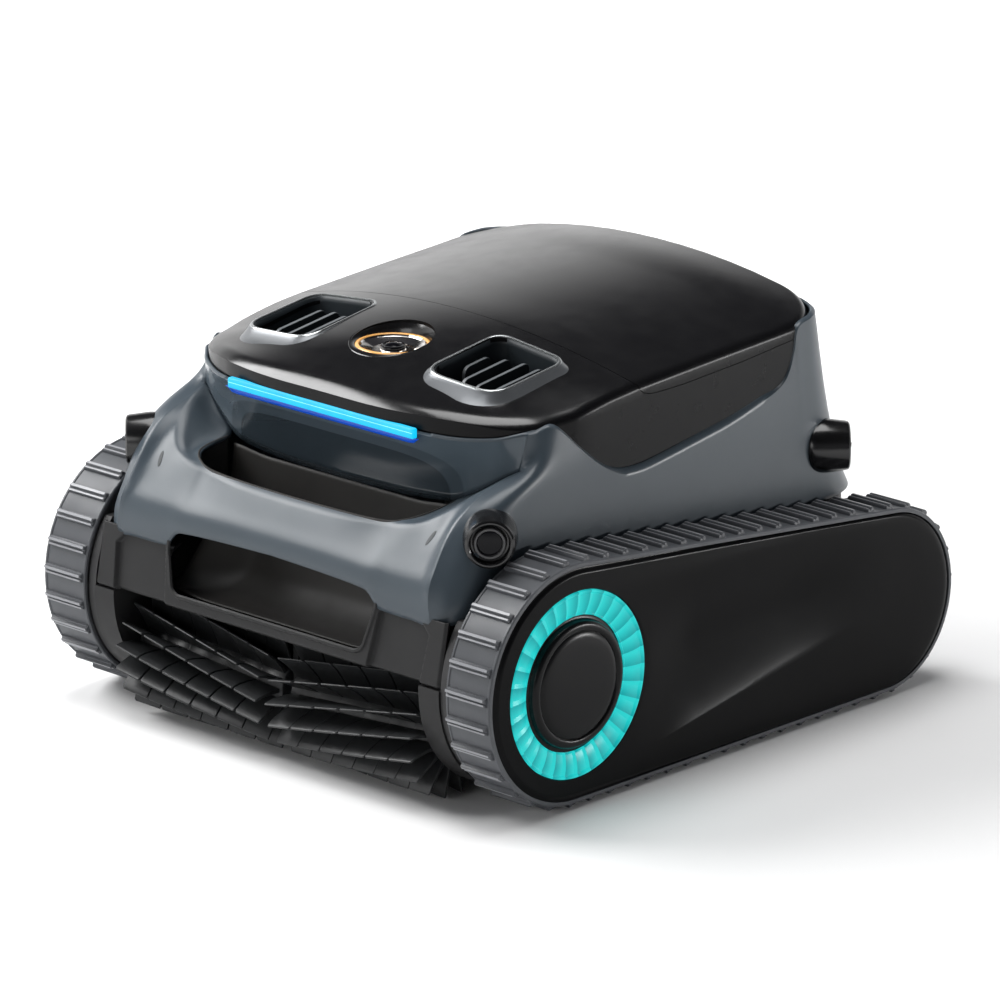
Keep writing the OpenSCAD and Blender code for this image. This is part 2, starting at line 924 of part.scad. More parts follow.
module sensor_housings() {
    color("black")
        each_pod()
            rotate_extrude()
                polygon(concat(arc(pod_r - 9, 9 - pod_len, 9, -90, 0, 8),
                    [[pod_r, -18], [16, -1.5], [14.8, 0], [12.4, 0], [12.4, -7], [0, -7],
                    [0, -pod_len]]));
}

module sensor_lenses() {
    color("midnightblue")
        each_pod()
            translate([0, 0, -7])
                rotate_extrude()
                    polygon([[0, 0], [12.3, 0], [12.3, 4], [9, 4.6], [0, 5.4]]);
}

module vent_frame() {
    color("gray")
        intersection() {
            difference() {
                vent_hole(0);
                translate([vent_x, vent_y - 2, 230])
                    linear_extrude(90)
                        polygon(plan(29.5, -32, 31, 9, 9));
            }
            translate([0, -63, 284])
                rotate([7, 0, 0])
                    block(0, 200, -120, 60, -22, 0);
        }
}

module vent_fins() {
    color("black")
        intersection() {
            translate([vent_x, vent_y - 2, 230])
                linear_extrude(90)
                    polygon(plan(29.2, -31.7, 30.7, 9, 9));
            union() {
                for (i = [-2:2])
                    translate([vent_x + 11.5 * i, vent_y - 2, 262])
                        cube([2, 70, 18], center = true);
                for (dy = [-18, 12])
                    x_rod(1.5, vent_x - 29.1, vent_x + 29.1, vent_y + dy, 262);
            }
        }
}

module top_sensor_bezel() {
    color("silver")
        translate([0, -107, 268])
            rotate_extrude()
                polygon([[25.6, 0], [31, 0], [31, 12.6], [30, 12.8], [27, 6], [25.6, 5]]);
}

module top_sensor_ring() {
    color("orange")
        translate([0, -107, 268])
            rotate_extrude()
                polygon([[23.6, 0], [25.5, 0], [25.5, 5.6], [23.6, 5.6]]);
}

module top_sensor_reflector() {
    color("silver")
        translate([0, -107, 268])
            rotate_extrude()
                polygon([[8.2, 0], [23.5, 0], [23.5, 4.5], [8.2, 2]]);
}

module top_sensor_lens() {
    color("black")
        translate([0, -107, 268])
            rotate_extrude()
                polygon([[0, 0], [8.1, 0], [8.1, 4.5], [6, 5.6], [0, 6]]);
}

// ---------- nodes ----------

bottom_plate();
left() side_frame();  // side_frame_left
side_frame();  // side_frame_right
rear_panel();
front_frame();
cavity_scoop();
cavity_panel();
upper_shell();
top_frame();
light_strip();
left() vent_frame();  // vent_frame_left
vent_frame();  // vent_frame_right
left() vent_fins();  // vent_fins_left
vent_fins();  // vent_fins_right
top_sensor_bezel();
top_sensor_ring();
top_sensor_reflector();
top_sensor_lens();
sensor_housings();
sensor_lenses();
left() gear_case();  // gear_case_left
gear_case();  // gear_case_right
drive_motors();
left() track_belt();  // track_belt_left
track_belt();  // track_belt_right
left() side_cover();  // side_cover_left
side_cover();  // side_cover_right
left() light_ring();  // light_ring_left
light_ring();  // light_ring_right
left() hub_cap();  // hub_cap_left
hub_cap();  // hub_cap_right
track_cores();
rear_axles();
brush_axle();
brush_bracket();
intake_duct();
filter_tub();
filter_basket();
basket_mesh();
battery_pack();
control_box();
pump_motors();
pump_ducts();
chassis_screws();
lid_hinge_pins();
lid_gasket();
filter_lid();
intake_flap();
left() front_wheel();  // front_wheel_left
front_wheel();  // front_wheel_right
left() drive_gear();  // drive_gear_left
drive_gear();  // drive_gear_right
left() rear_wheel();  // rear_wheel_left
rear_wheel();  // rear_wheel_right
left() brush_half();  // brush_left
brush_half();  // brush_right
left() motor_pinion();  // motor_pinion_left
motor_pinion();  // motor_pinion_right
left() impeller();  // impeller_left
impeller();  // impeller_right
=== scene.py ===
import math

import bmesh
import bpy
from mathutils import Matrix, Vector


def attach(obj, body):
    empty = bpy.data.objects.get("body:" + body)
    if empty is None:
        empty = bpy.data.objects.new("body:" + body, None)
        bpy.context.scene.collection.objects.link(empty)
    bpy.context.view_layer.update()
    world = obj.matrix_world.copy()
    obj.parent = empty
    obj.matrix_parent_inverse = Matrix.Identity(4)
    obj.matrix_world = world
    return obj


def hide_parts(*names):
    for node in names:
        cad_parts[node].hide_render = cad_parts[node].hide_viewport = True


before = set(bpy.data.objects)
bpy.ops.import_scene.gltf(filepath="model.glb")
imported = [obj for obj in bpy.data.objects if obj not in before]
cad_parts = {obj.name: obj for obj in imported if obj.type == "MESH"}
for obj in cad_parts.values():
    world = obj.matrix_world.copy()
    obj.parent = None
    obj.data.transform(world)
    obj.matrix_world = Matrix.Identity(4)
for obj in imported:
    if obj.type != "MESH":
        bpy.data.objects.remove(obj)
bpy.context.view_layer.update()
MM = 0.001
WELD = 0.02                     # points closer than this become one
AXLE_Y, AXLE_Z = -152.5, 89     # the front wheel's axle
FACETS = 32                     # prisms round a light ring

# ---------- curves and meshes; every length below is in millimetres ----------


def lerp(a, b, t):
    return a + (b - a) * t


def clamp(x, low, high):
    return max(low, min(high, x))


def smooth(t):
    t = clamp(t, 0, 1)
    return t * t * (3 - 2 * t)


class Track:
    """A smooth curve through keyed points. A key is (t, point), and a point has any number of values."""

    def __init__(self, *keys):
        self.t = [k[0] for k in keys]
        self.p = [Vector(k[1]) for k in keys]
        n = len(keys)
        slope = [(self.p[i + 1] - self.p[i]) / (self.t[i + 1] - self.t[i]) for i in range(n - 1)]
        self.m = [slope[0]]
        for i in range(1, n - 1):
            a = self.t[i] - self.t[i - 1]
            b = self.t[i + 1] - self.t[i]
            self.m.append((slope[i - 1] * b + slope[i] * a) / (a + b))
        self.m.append(slope[-1])

    def __call__(self, t):
        i = 0
        while i < len(self.t) - 2 and t > self.t[i + 1]:
            i += 1
        h = self.t[i + 1] - self.t[i]
        s = clamp((t - self.t[i]) / h, 0, 1)
        a, b = self.p[i], self.p[i + 1]
        return ((2 * s**3 - 3 * s**2 + 1) * a + (s**3 - 2 * s**2 + s) * h * self.m[i]
                + (3 * s**2 - 2 * s**3) * b + (s**3 - s**2) * h * self.m[i + 1])


def path(*points):
    """A smooth curve whose points sit at 0, 1, 2 and so on."""
    return Track(*enumerate(points))


def profile(*keys):
    """A smooth function of one value."""
    track = Track(*[(k[0], (k[1], 0)) for k in keys])
    return lambda t: track(t)[0]


def steps(a, b, n):
    return [lerp(a, b, i / n) for i in range(n + 1)]


def arc(cx, cy, r, a0, a1, n):
    return [(cx + r * math.cos(math.radians(a)), cy + r * math.sin(math.radians(a)))
            for a in steps(a0, a1, n)]


class Skin:
    """Grids of points that become one mesh."""

    def __init__(self):
        self.bm = bmesh.new()

    def grid(self, rows, around=False, slot=0):
        made = [[self.bm.verts.new(Vector(p) * MM) for p in row] for row in rows]
        for low, high in zip(made[:-1], made[1:]):
            n = len(low)
            for i in range(n if around else n - 1):
                j = (i + 1) % n
                face = self.bm.faces.new((low[i], low[j], high[j], high[i]))
                face.material_index = slot
                face.smooth = True

    def fan(self, row):
        face = self.bm.faces.new([self.bm.verts.new(Vector(p) * MM) for p in row])
        face.smooth = True

    def mirror(self):
        made = bmesh.ops.duplicate(self.bm, geom=list(self.bm.faces))["geom"]
        for vertex in [item for item in made if isinstance(item, bmesh.types.BMVert)]:
            vertex.co.x = -vertex.co.x
        faces = [item for item in made if isinstance(item, bmesh.types.BMFace)]
        bmesh.ops.reverse_faces(self.bm, faces=faces)

    def finish(self, name, body, slot, materials, angle=40, outward=True):
        bmesh.ops.remove_doubles(self.bm, verts=self.bm.verts, dist=WELD * MM)
        bmesh.ops.dissolve_degenerate(self.bm, edges=self.bm.edges, dist=0.001 * MM)
        if outward:
            bmesh.ops.recalc_face_normals(self.bm, faces=self.bm.faces)
        mesh = bpy.data.meshes.new(name)
        self.bm.to_mesh(mesh)
        self.bm.free()
        return place(mesh, name, body, materials, angle)


def place(mesh, name, body, materials, angle=40):
    for material in materials:
        mesh.materials.append(material)
    piece = bpy.data.objects.new(name, mesh)
    bpy.context.scene.collection.objects.link(piece)
    if angle:
        mesh.shade_smooth()
        mesh.set_sharp_from_angle(angle=math.radians(angle))
    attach(piece, body)
    return piece


def revolve(skin, line, place_point, turns=72, slot=0):
    """Turns (radius, height) points about an axis. place_point(a, b, h) puts the point in space."""
    rows = []
    for r, h in line:
        rows.append([place_point(r * math.cos(a), r * math.sin(a), h)
                     for a in steps(0, 2 * math.pi, turns)[:-1]])
    skin.grid(rows, around=True, slot=slot)


def solidify(piece, thickness, offset=-1):
    mod = piece.modifiers.new("wall", "SOLIDIFY")
    mod.thickness = thickness * MM
    mod.offset = offset
    mod.use_even_offset = True
    return piece


def bevel(piece, width, segments=2, angle=35):
    mod = piece.modifiers.new("edge", "BEVEL")
    mod.width = width * MM
    mod.segments = segments
    mod.limit_method = "ANGLE"
    mod.angle_limit = math.radians(angle)
    mod.harden_normals = True
    return piece


def cut(piece, cutters, operation="DIFFERENCE"):
    """Applies booleans now, so that what follows sees the final mesh."""
    for cutter in cutters:
        mod = piece.modifiers.new("cut", "BOOLEAN")
        mod.operation = operation
        mod.solver = "EXACT"
        mod.object = cutter
    bpy.context.view_layer.update()
    done = bpy.data.meshes.new_from_object(piece.evaluated_get(bpy.context.evaluated_depsgraph_get()))
    piece.modifiers.clear()
    piece.data = done
    for cutter in cutters:
        bpy.data.objects.remove(cutter)
    return piece


def prism(name, outline, axis, low, high):
    """A closed extrusion of an outline: axis X takes (y, z), and axis Z takes (x, y)."""
    bm = bmesh.new()
    place_point = {"X": lambda p, d: (d, p[0], p[1]), "Z": lambda p, d: (p[0], p[1], d)}[axis]
    rings = [[bm.verts.new(Vector(place_point(p, d)) * MM) for p in outline] for d in (low, high)]
    n = len(outline)
    for i in range(n):
        bm.faces.new((rings[0][i], rings[0][(i + 1) % n], rings[1][(i + 1) % n], rings[1][i]))
    bm.faces.new(list(reversed(rings[0])))
    bm.faces.new(rings[1])
    bmesh.ops.recalc_face_normals(bm, faces=bm.faces)
    mesh = bpy.data.meshes.new(name)
    bm.to_mesh(mesh)
    bm.free()
    piece = bpy.data.objects.new(name, mesh)
    bpy.context.scene.collection.objects.link(piece)
    return piece


# ---------- materials ----------


class Graph:
    """Short calls that add nodes to the tree of a material or of the world."""

    def __init__(self, owner):
        owner.use_nodes = True
        self.owner = owner
        self.nodes = owner.node_tree.nodes
        self.links = owner.node_tree.links
        self.shader = self.nodes.get("Principled BSDF")

    def feed(self, node, values):
        """Gives sockets, by name or number, a constant or another node's output."""
        for key, value in values.items():
            if isinstance(value, bpy.types.NodeSocket):
                self.links.new(value, node.inputs[key])
            else:
                node.inputs[key].default_value = value

    def new(self, kind, values, operation=None):
        node = self.nodes.new(kind)
        if operation:
            node.operation = operation
        self.feed(node, values)
        return node

    def math(self, operation, *values):
        return self.new("ShaderNodeMath", dict(enumerate(values)), operation).outputs[0]

    def coords(self, kind="Object"):
        return self.nodes.new("ShaderNodeTexCoord").outputs[kind]

    def split(self, kind="Object"):
        """The X, Y and Z of a point."""
        return self.new("ShaderNodeSeparateXYZ", {0: self.coords(kind)}).outputs

    def noise(self, scale, detail=4):
        values = {"Scale": scale, "Detail": detail, "Roughness": 0.6, "Vector": self.coords()}
        return self.new("ShaderNodeTexNoise", values).outputs["Fac"]

    def ramp(self, source, low, high, a=0.3, b=0.7):
        """Maps a grey value between a and b to a colour or value between low and high."""
        node = self.new("ShaderNodeValToRGB", {"Fac": source})
        for stop, at, value in zip(node.color_ramp.elements, (a, b), (low, high)):
            stop.position = at
            stop.color = (*value, 1) if hasattr(value, "__len__") else (value, value, value, 1)
        return node.outputs["Color"]

    def bump(self, height, strength, distance):
        values = {"Strength": strength, "Distance": distance * MM, "Height": height}
        self.feed(self.shader, {"Normal": self.new("ShaderNodeBump", values).outputs["Normal"]})


def new_material(name):
    return Graph(bpy.data.materials.new(name))


def moulded(name, dark, light, rough, spread, grain, depth, strength, metallic=0.0, specular=0.5):
    """Moulded plastic or rubber: slow colour drift, patchy gloss and a fine surface grain."""
    graph = new_material(name)
    graph.feed(graph.shader, {
        "Base Color": graph.ramp(graph.noise(14), dark, light),
        "Roughness": graph.ramp(graph.noise(60, 6), rough - spread, rough + spread),
        "Metallic": metallic,
        "Specular IOR Level": specular,
    })
    graph.bump(graph.noise(grain, 3), strength, depth)
    return graph.owner


def lit(name, colour, strength, base, rough=0.3):
    """A glowing material: the light strip and its bright line, and the painted light of the strip on the panel
    below.
    """
    graph = new_material(name)
    graph.feed(graph.shader, {
        "Emission Color": graph.ramp(graph.noise(90, 2), [c * 0.85 for c in colour], colour),
        "Emission Strength": strength,
        "Base Color": (*base, 1),
        "Roughness": rough,
    })
    graph.bump(graph.noise(500, 2), 0.1, 0.02)
    return graph.owner


def smoked_glass_painted_shade(name):
    """Dark glass, painted darker inside two rounded outlines and lighter outside them: painted shade that keeps
    the panel's middle dark and lets its ends pass into the shell's grey.
    """
    graph = new_material(name)
    x, _, z = graph.split()
    rise = graph.math("SUBTRACT", z, 181 * MM)
    tone_and_shade = graph.math("MULTIPLY", graph.noise(14, 2), 0.004)
    # Each outline makes the painted shade one step lighter outside it.
    for half_x, half_z, step in ((102, 44, 0.013), (113, 52, 0.011)):
        place_in = (graph.math("DIVIDE", x, half_x * MM), graph.math("DIVIDE", rise, half_z * MM))
        powers = [graph.math("POWER", graph.math("ABSOLUTE", value), 5) for value in place_in]
        level = graph.math("MULTIPLY", graph.math("SUBTRACT", graph.math("ADD", *powers), 0.97), 14)
        level.node.use_clamp = True
        tone_and_shade = graph.math("ADD", tone_and_shade, graph.math("MULTIPLY", level, step))
    graph.feed(graph.shader, {
        "Base Color": graph.ramp(tone_and_shade, (0.02, 0.027, 0.033), (0.075, 0.098, 0.118), 0.0, 0.034),
        "Roughness": 0.17,
        "Specular IOR Level": 0.4,
    })
    graph.bump(graph.noise(500, 2), 0.05, 0.003)
    return graph.owner


def faceted_ring(name, centre_y, centre_z, count):
    """A light guide with prisms round it: each prism is brighter along one edge."""
    graph = new_material(name)
    _, y, z = graph.split()
    y = graph.math("SUBTRACT", y, centre_y * MM)
    z = graph.math("SUBTRACT", z, centre_z * MM)
    turn = graph.math("MULTIPLY", graph.math("ARCTAN2", z, y), count / (2 * math.pi))
    tooth = graph.math("FRACT", graph.math("ADD", turn, count))
    glow = graph.math("ADD", tooth, graph.math("MULTIPLY", graph.noise(45, 3), 0.5))
    graph.feed(graph.shader, {
        "Emission Color": graph.ramp(glow, (0.0, 0.32, 0.34), (0.02, 0.68, 0.66), 0.2, 1.25),
        "Emission Strength": 0.85,
        "Base Color": (0.0, 0.08, 0.08, 1),
        "Specular IOR Level": 0.2,
        "Roughness": 0.3,
    })
    graph.bump(graph.noise(500, 2), 0.05, 0.01)
    return graph.owner


SHELL = moulded("shell_grey", (0.04, 0.053, 0.065), (0.046, 0.06, 0.073), 0.33, 0.02, 2600, 0.002, 0.05,
                specular=0.36)
ROOF = moulded("roof_black", (0.0035, 0.0035, 0.004), (0.005, 0.005, 0.0055), 0.2, 0.03, 700, 0.01, 0.12,
               specular=0.5)
COVER = moulded("cover_black", (0.0015, 0.0015, 0.0017), (0.0025, 0.0025, 0.0028), 0.24, 0.02, 700, 0.003,
                0.06, specular=0.08)
FRAME = moulded("frame_black", (0.014, 0.014, 0.0145), (0.019, 0.019, 0.0195), 0.46, 0.06, 1600, 0.05, 0.5,
                specular=0.2)
CHASSIS = moulded("chassis_black", (0.012, 0.012, 0.013), (0.018, 0.018, 0.019), 0.6, 0.08, 900, 0.05, 0.4)
TRACK = moulded("track_rubber", (0.062, 0.066, 0.073), (0.08, 0.084, 0.092), 0.42, 0.06, 1500, 0.02, 0.25,
                specular=0.3)
BRUSH = moulded("brush_rubber", (0.015, 0.016, 0.017), (0.024, 0.025, 0.026), 0.36, 0.06, 800, 0.03, 0.3,
                specular=0.3)
SCOOP = moulded("scoop_black", (0.019, 0.0178, 0.0168), (0.026, 0.0245, 0.023), 0.5, 0.05, 900, 0.03, 0.3,
                specular=0.16)
# Smoked panel with painted shade: darker in its middle, lighter towards its ends.
SMOKE_SHADED = smoked_glass_painted_shade("smoke_panel")
VENT = moulded("vent_grey", (0.11, 0.117, 0.125), (0.13, 0.137, 0.145), 0.3, 0.02, 2400, 0.002, 0.05,
               metallic=0.4)
# A lighter, shinier copy of the vent metal for the rim: painted highlight along the vent's inner rim.
VENT_EDGE_HIGHLIGHT = moulded("vent_edge_highlight", (0.34, 0.355, 0.36), (0.4, 0.415, 0.42), 0.22, 0.02, 2400, 0.002, 0.05,
                    metallic=0.8)
FINS = moulded("fin_black", (0.014, 0.018, 0.021), (0.02, 0.025, 0.029), 0.4, 0.04, 900, 0.01, 0.15,
               specular=0.22)
POD = moulded("pod_black", (0.005, 0.005, 0.0055), (0.008, 0.008, 0.0085), 0.2, 0.04, 1200, 0.01, 0.15)
# A lighter copy of the fin black for the fins' crests: painted highlight along each crest.
FIN_CREST_HIGHLIGHT = moulded("fin_crest_highlight", (0.09, 0.1, 0.108), (0.12, 0.13, 0.138), 0.4, 0.04, 900, 0.01, 0.15)
LENS = moulded("lens_dark", (0.002, 0.002, 0.003), (0.004, 0.004, 0.006), 0.1, 0.02, 300, 0.002, 0.03,
               specular=0.15)
POD_RING = moulded("pod_ring", (0.05, 0.05, 0.052), (0.065, 0.065, 0.067), 0.4, 0.03, 900, 0.01, 0.1)
AMBER = moulded("amber", (0.7, 0.33, 0.08), (0.85, 0.45, 0.14), 0.25, 0.04, 600, 0.01, 0.1)
CHROME = moulded("chrome", (0.62, 0.6, 0.58), (0.72, 0.7, 0.68), 0.12, 0.04, 400, 0.01, 0.1, metallic=1.0)
STEEL = moulded("steel", (0.5, 0.5, 0.5), (0.6, 0.6, 0.6), 0.3, 0.06, 900, 0.01, 0.3, metallic=1.0)
NYLON = moulded("gear_nylon", (0.62, 0.58, 0.47), (0.72, 0.68, 0.57), 0.45, 0.06, 700, 0.03, 0.3)
FILTER = moulded("filter_grey", (0.05, 0.053, 0.056), (0.07, 0.073, 0.076), 0.5, 0.06, 900, 0.04, 0.35)
MESH = moulded("filter_mesh", (0.5, 0.52, 0.53), (0.7, 0.72, 0.73), 0.8, 0.05, 2200, 0.1, 0.7)
BATTERY = moulded("battery_wrap", (0.01, 0.05, 0.2), (0.02, 0.08, 0.28), 0.35, 0.06, 500, 0.05, 0.3)
MOTOR = moulded("motor_can", (0.09, 0.095, 0.1), (0.14, 0.145, 0.15), 0.35, 0.06, 900, 0.02, 0.3,
                metallic=0.7)
IMPELLER = moulded("impeller_grey", (0.16, 0.16, 0.16), (0.22, 0.22, 0.22), 0.45, 0.06, 900, 0.03, 0.3)
HUB = moulded("hub_black", (0.003, 0.003, 0.0033), (0.005, 0.005, 0.0055), 0.26, 0.01, 900, 0.002, 0.03,
              specular=0.16)
# A darker, less glossy copy of the roof black for faces that face sideways or down: painted shade on the skirt
# and belt panel.
ROOF_SHADED = moulded("roof_black_shaded", (0.003, 0.003, 0.0034), (0.0045, 0.0045, 0.005), 0.28, 0.01, 900,
                    0.002, 0.03, specular=0.12)
GASKET = moulded("gasket", (0.03, 0.03, 0.03), (0.045, 0.045, 0.045), 0.7, 0.05, 900, 0.05, 0.4)
WHEEL = moulded("wheel_black", (0.03, 0.03, 0.032), (0.042, 0.042, 0.045), 0.5, 0.05, 900, 0.05, 0.4)
RING = faceted_ring("ring_light", AXLE_Y, AXLE_Z, FACETS)
# A lighter copy of the track rubber for the lugs' crests: painted highlight along the lug tops.
TREAD_HIGHLIGHT = moulded("track_ridge_highlight", (0.2, 0.205, 0.22), (0.25, 0.255, 0.27), 0.4, 0.06, 1500, 0.02, 0.25)
STRIP = lit("strip_light", (0.0, 0.6, 1.0), 1.1, (0.0, 0.02, 0.04), 0.6)
# A glowing band below the strip: painted light of the strip falling on the panel below.
STRIP_SPILL = lit("strip_light_spill", (0.0, 0.07, 0.6), 0.7, (0.0, 0.02, 0.1))
STRIP_LINE = lit("strip_line", (0.3, 0.8, 1.0), 1.2, (0.1, 0.3, 0.4))

# ---------- camera, floor and light ----------

AZIMUTH = math.radians(43.63)
ELEVATION = math.radians(17.5)
DISTANCE = 5707
right = Vector((math.cos(AZIMUTH), math.sin(AZIMUTH), 0))
back = Vector((math.sin(AZIMUTH) * math.cos(ELEVATION), -math.cos(AZIMUTH) * math.cos(ELEVATION),
               math.sin(ELEVATION)))
up = back.cross(right)


def make_camera():
    camera = bpy.data.objects.new("camera", bpy.data.cameras.new("camera"))
    camera.data.sensor_width = 36
    camera.data.lens = 290.2
    camera.data.clip_end = 100
    target = Vector((0, 0, 130)) + 0.36 * right + 7.64 * up
    camera.location = (target + back * DISTANCE) * MM
    camera.rotation_euler = Matrix((right, up, back)).transposed().to_euler()
    bpy.context.scene.collection.objects.link(camera)
    bpy.context.scene.camera = camera


def area_light(name, place_at, aim, size, power):
    light = bpy.data.objects.new(name, bpy.data.lights.new(name, "AREA"))
    light.data.shape = "RECTANGLE"
    light.data.size, light.data.size_y = size
    light.data.energy = power
    light.location = place_at
    direction = Vector(aim) - Vector(place_at)
    light.rotation_euler = direction.to_track_quat("-Z", "Y").to_euler()
    bpy.context.scene.collection.objects.link(light)


def make_studio():
    bm = bmesh.new()
    bmesh.ops.create_grid(bm, x_segments=40, y_segments=40, size=9)
    mesh = bpy.data.meshes.new("floor")
    bm.to_mesh(mesh)
    bm.free()
    floor = bpy.data.objects.new("floor", mesh)
    floor.location.z = -0.0006
    paper = new_material("floor_paper")
    # The floor glows more the farther it lies from the machine: painted light that whitens the far floor and
    # leaves the shadows near the machine.
    far = paper.new("ShaderNodeVectorMath", {0: paper.coords()}, "LENGTH").outputs["Value"]
    paper.feed(paper.shader, {
        "Base Color": paper.ramp(paper.noise(3), 0.86, 0.88),
        "Roughness": 0.7,
        "Specular IOR Level": 0.2,
        "Emission Color": paper.ramp(far, 0, 0.45, 0.6, 1.8),
        "Emission Strength": 1.0,
    })
    paper.bump(paper.noise(400), 0.05, 0.05)
    mesh.materials.append(paper.owner)
    bpy.context.scene.collection.objects.link(floor)
    world = Graph(bpy.data.worlds.new("studio"))
    x, _, z = world.split("Generated")
    sky = world.ramp(z, (1, 1, 1), (0.03, 0.03, 0.035), 0.26, 0.5)
    dim = world.ramp(x, (1, 1, 1), (0.15, 0.15, 0.16), 0.05, 0.55)
    both = world.new("ShaderNodeVectorMath", {0: sky, 1: dim}, "MULTIPLY").outputs["Vector"]
    world.feed(world.nodes["Background"], {"Color": both, "Strength": 1.25})
    bpy.context.scene.world = world.owner
    area_light("key_left", (-1.75, -0.85, 1.75), (0, -0.05, 0.15), (1.8, 1.1), 74)
    area_light("top_soft", (-0.2, 0.1, 2.6), (0, 0, 0.1), (1.6, 1.6), 54)
    area_light("front_low", (0.15, -2.6, 0.9), (0, -0.1, 0.15), (1.4, 0.6), 6)
    area_light("side_strip", (1.65, 1.42, 0.24), (0.2, 0.02, 0.05), (0.5, 0.1), 15)
    bpy.context.scene.view_settings.view_transform = "Standard"


make_camera()
make_studio()

# ---------- upper shell ----------

# Height profile of the rounded front face: how far forward it stands at each height.
FACE = profile((130, -228), (150, -228), (160, -226.2), (171, -219.8), (182, -213), (191, -206.5),
               (202, -195.5), (213, -176), (219, -157), (223.6, -140))

# Lower edge of the front face, as (x, z): along the hand window, round its corner, then up the side crease.
FOOT = path((0, 150), (50, 148.6), (82, 147), (93, 145), (99.5, 138.5), (105, 134.6), (135, 134),
            (151, 134.3), (150.5, 150), (149.3, 169), (148.8, 187), (149.8, 204), (150, 215),
            (152.3, 223.6))

# Upper edge of the front face: the bright rim of the hand hollow, rising along each shoulder.
RIM = path((0, -210, 184), (50, -208.6, 184.6), (82.8, -204.8, 185.6), (95.6, -204.4, 187.4),
           (103, -203.6, 189.2), (110.4, -201.4, 191.8), (118.6, -197.4, 195.6), (126, -191.9, 200.6),
           (132.4, -184.9, 205.2), (137.6, -177.2, 209.8), (142, -168.8, 214), (146, -159, 217.8),
           (149.5, -149, 221.2), (152.3, -140, 223.6))

# Inner edge of the hollow's floor: round the hand hole, then back along the foot of the nose.
HOLE = path((0, -204.5, 187), (50, -203.6, 187.2), (80, -202, 188), (92, -200, 189.5), (98, -197.5, 191),
            (103, -194.5, 192.5), (107.5, -189, 194.5), (109.7, -179, 196), (110, -169, 197),
            (110, -159.5, 198), (114, -153, 200.5), (126, -149.5, 207), (140, -145.5, 216),
            (152.3, -140, 223.6))

# Upper edge of the shell under the roof's front, and the foot of the nose below it.
BROW = path((0, -178.6, 245.6), (60, -178, 245.4), (92, -174.6, 244.6), (108, -170, 243.8),
            (120, -164.6, 243.5), (132, -157.6, 243.9), (143.4, -150, 245.2), (156, -137, 248.5))
NOSE = path((0, -158, 190), (60, -157.5, 191.5), (92, -156, 194), (104, -154.5, 196), (114, -153, 200.5),
            (126, -149.5, 207), (140, -145.5, 216), (152.3, -140, 223.6))
CORNER = path((152.3, -140, 223.6), (154.4, -138.4, 236), (156, -137, 248.5))

# Columns of the side and rear wall, each from its foot (0) to its top edge (1).
SIDE = [
    Track((0, (163.5, -221, 134.6)), (0.125, (163.2, -219.5, 150)), (0.25, (162.3, -209.5, 170)),
          (0.375, (161.5, -200, 188)), (0.5, (161, -186, 205)), (0.625, (160.6, -169, 215)),
          (0.75, (159.6, -143, 224.5)), (1, (159.6, -127.5, 249.6))),
    Track((0, (171, -205, 137)), (0.125, (170.8, -204, 150)), (0.25, (169.8, -196, 170)),
          (0.375, (169.2, -186, 188)), (0.5, (168.6, -172, 205)), (0.625, (168, -156, 215)),
          (0.75, (166.4, -135, 226)), (1, (164.4, -117, 251.6))),
    Track((0, (171, -172, 139)), (0.375, (169.4, -152, 186)), (0.75, (168, -116, 222)),
          (1, (167.2, -97, 234))),
    Track((0, (171, -140, 139)), (0.375, (169.6, -124, 180)), (0.75, (168.6, -94, 208)),
          (1, (168.4, -76, 217))),
    Track((0, (171, -100, 139)), (0.5, (169.6, -78, 176)), (1, (168.6, -55, 206))),
    Track((0, (171, -65, 139)), (0.5, (169.6, -50, 174)), (1, (168.7, -36, 204))),
    Track((0, (171, -30, 139)), (0.5, (169.6, -23, 174)), (1, (168.6, -16, 206))),
    Track((0, (171, 18, 139)), (0.5, (169.5, 21, 176)), (1, (168.2, 25, 212))),
    Track((0, (171, 55, 139)), (0.5, (169.4, 55, 179)), (1, (168, 56, 217))),
    Track((0, (171, 90, 139)), (0.5, (169.2, 88, 183)), (1, (167.6, 87, 224.6))),
    Track((0, (171, 112, 139)), (0.5, (169, 110, 186)), (1, (167.1, 108, 231))),
    Track((0, (170.8, 126, 139)), (0.5, (168.6, 122, 190)), (1, (166.8, 118.5, 239.5))),
    Track((0, (170.5, 136, 139)), (0.5, (168.2, 129, 196)), (1, (166.4, 125, 255))),
    Track((0, (170, 146, 139)), (0.5, (167.8, 137, 202)), (1, (166.2, 129, 271))),
    Track((0, (167.5, 170, 139)), (0.3, (167, 160, 170)), (0.6, (165.5, 152, 212)), (1, (163.6, 145, 274.5))),
    Track((0, (160, 190, 139)), (0.3, (159.5, 179, 166)), (0.6, (158.4, 168, 210)), (1, (156.5, 157.5, 275.5))),
    Track((0, (146, 205, 139)), (0.3, (146, 191, 165)), (0.6, (145.4, 179, 209)), (1, (144, 166.5, 276))),
    Track((0, (125, 212, 139)), (0.3, (125, 197.6, 164)), (0.6, (124.4, 185, 208)), (1, (123, 171.4, 276.5))),
    Track((0, (64, 213, 139)), (0.3, (64, 198.6, 164)), (0.6, (63, 187.2, 208)), (1, (62, 172.6, 277))),
    Track((0, (0, 213, 139)), (0.3, (0, 198.6, 164)), (0.6, (0, 187.2, 208)), (1, (0, 172.6, 277.2))),
]
SPINE = steps(0, 13, 52)        # stations of the front face and the hollow
CREASE = 28                     # first station on the side crease
RISE = steps(0, 1, 8)[1:]       # stations of the nose's side edge
TRIM_START = 2.4                # station on the brow where the bright edge starts
RIM_R = 6                       # reach of the rim's rounding on each side


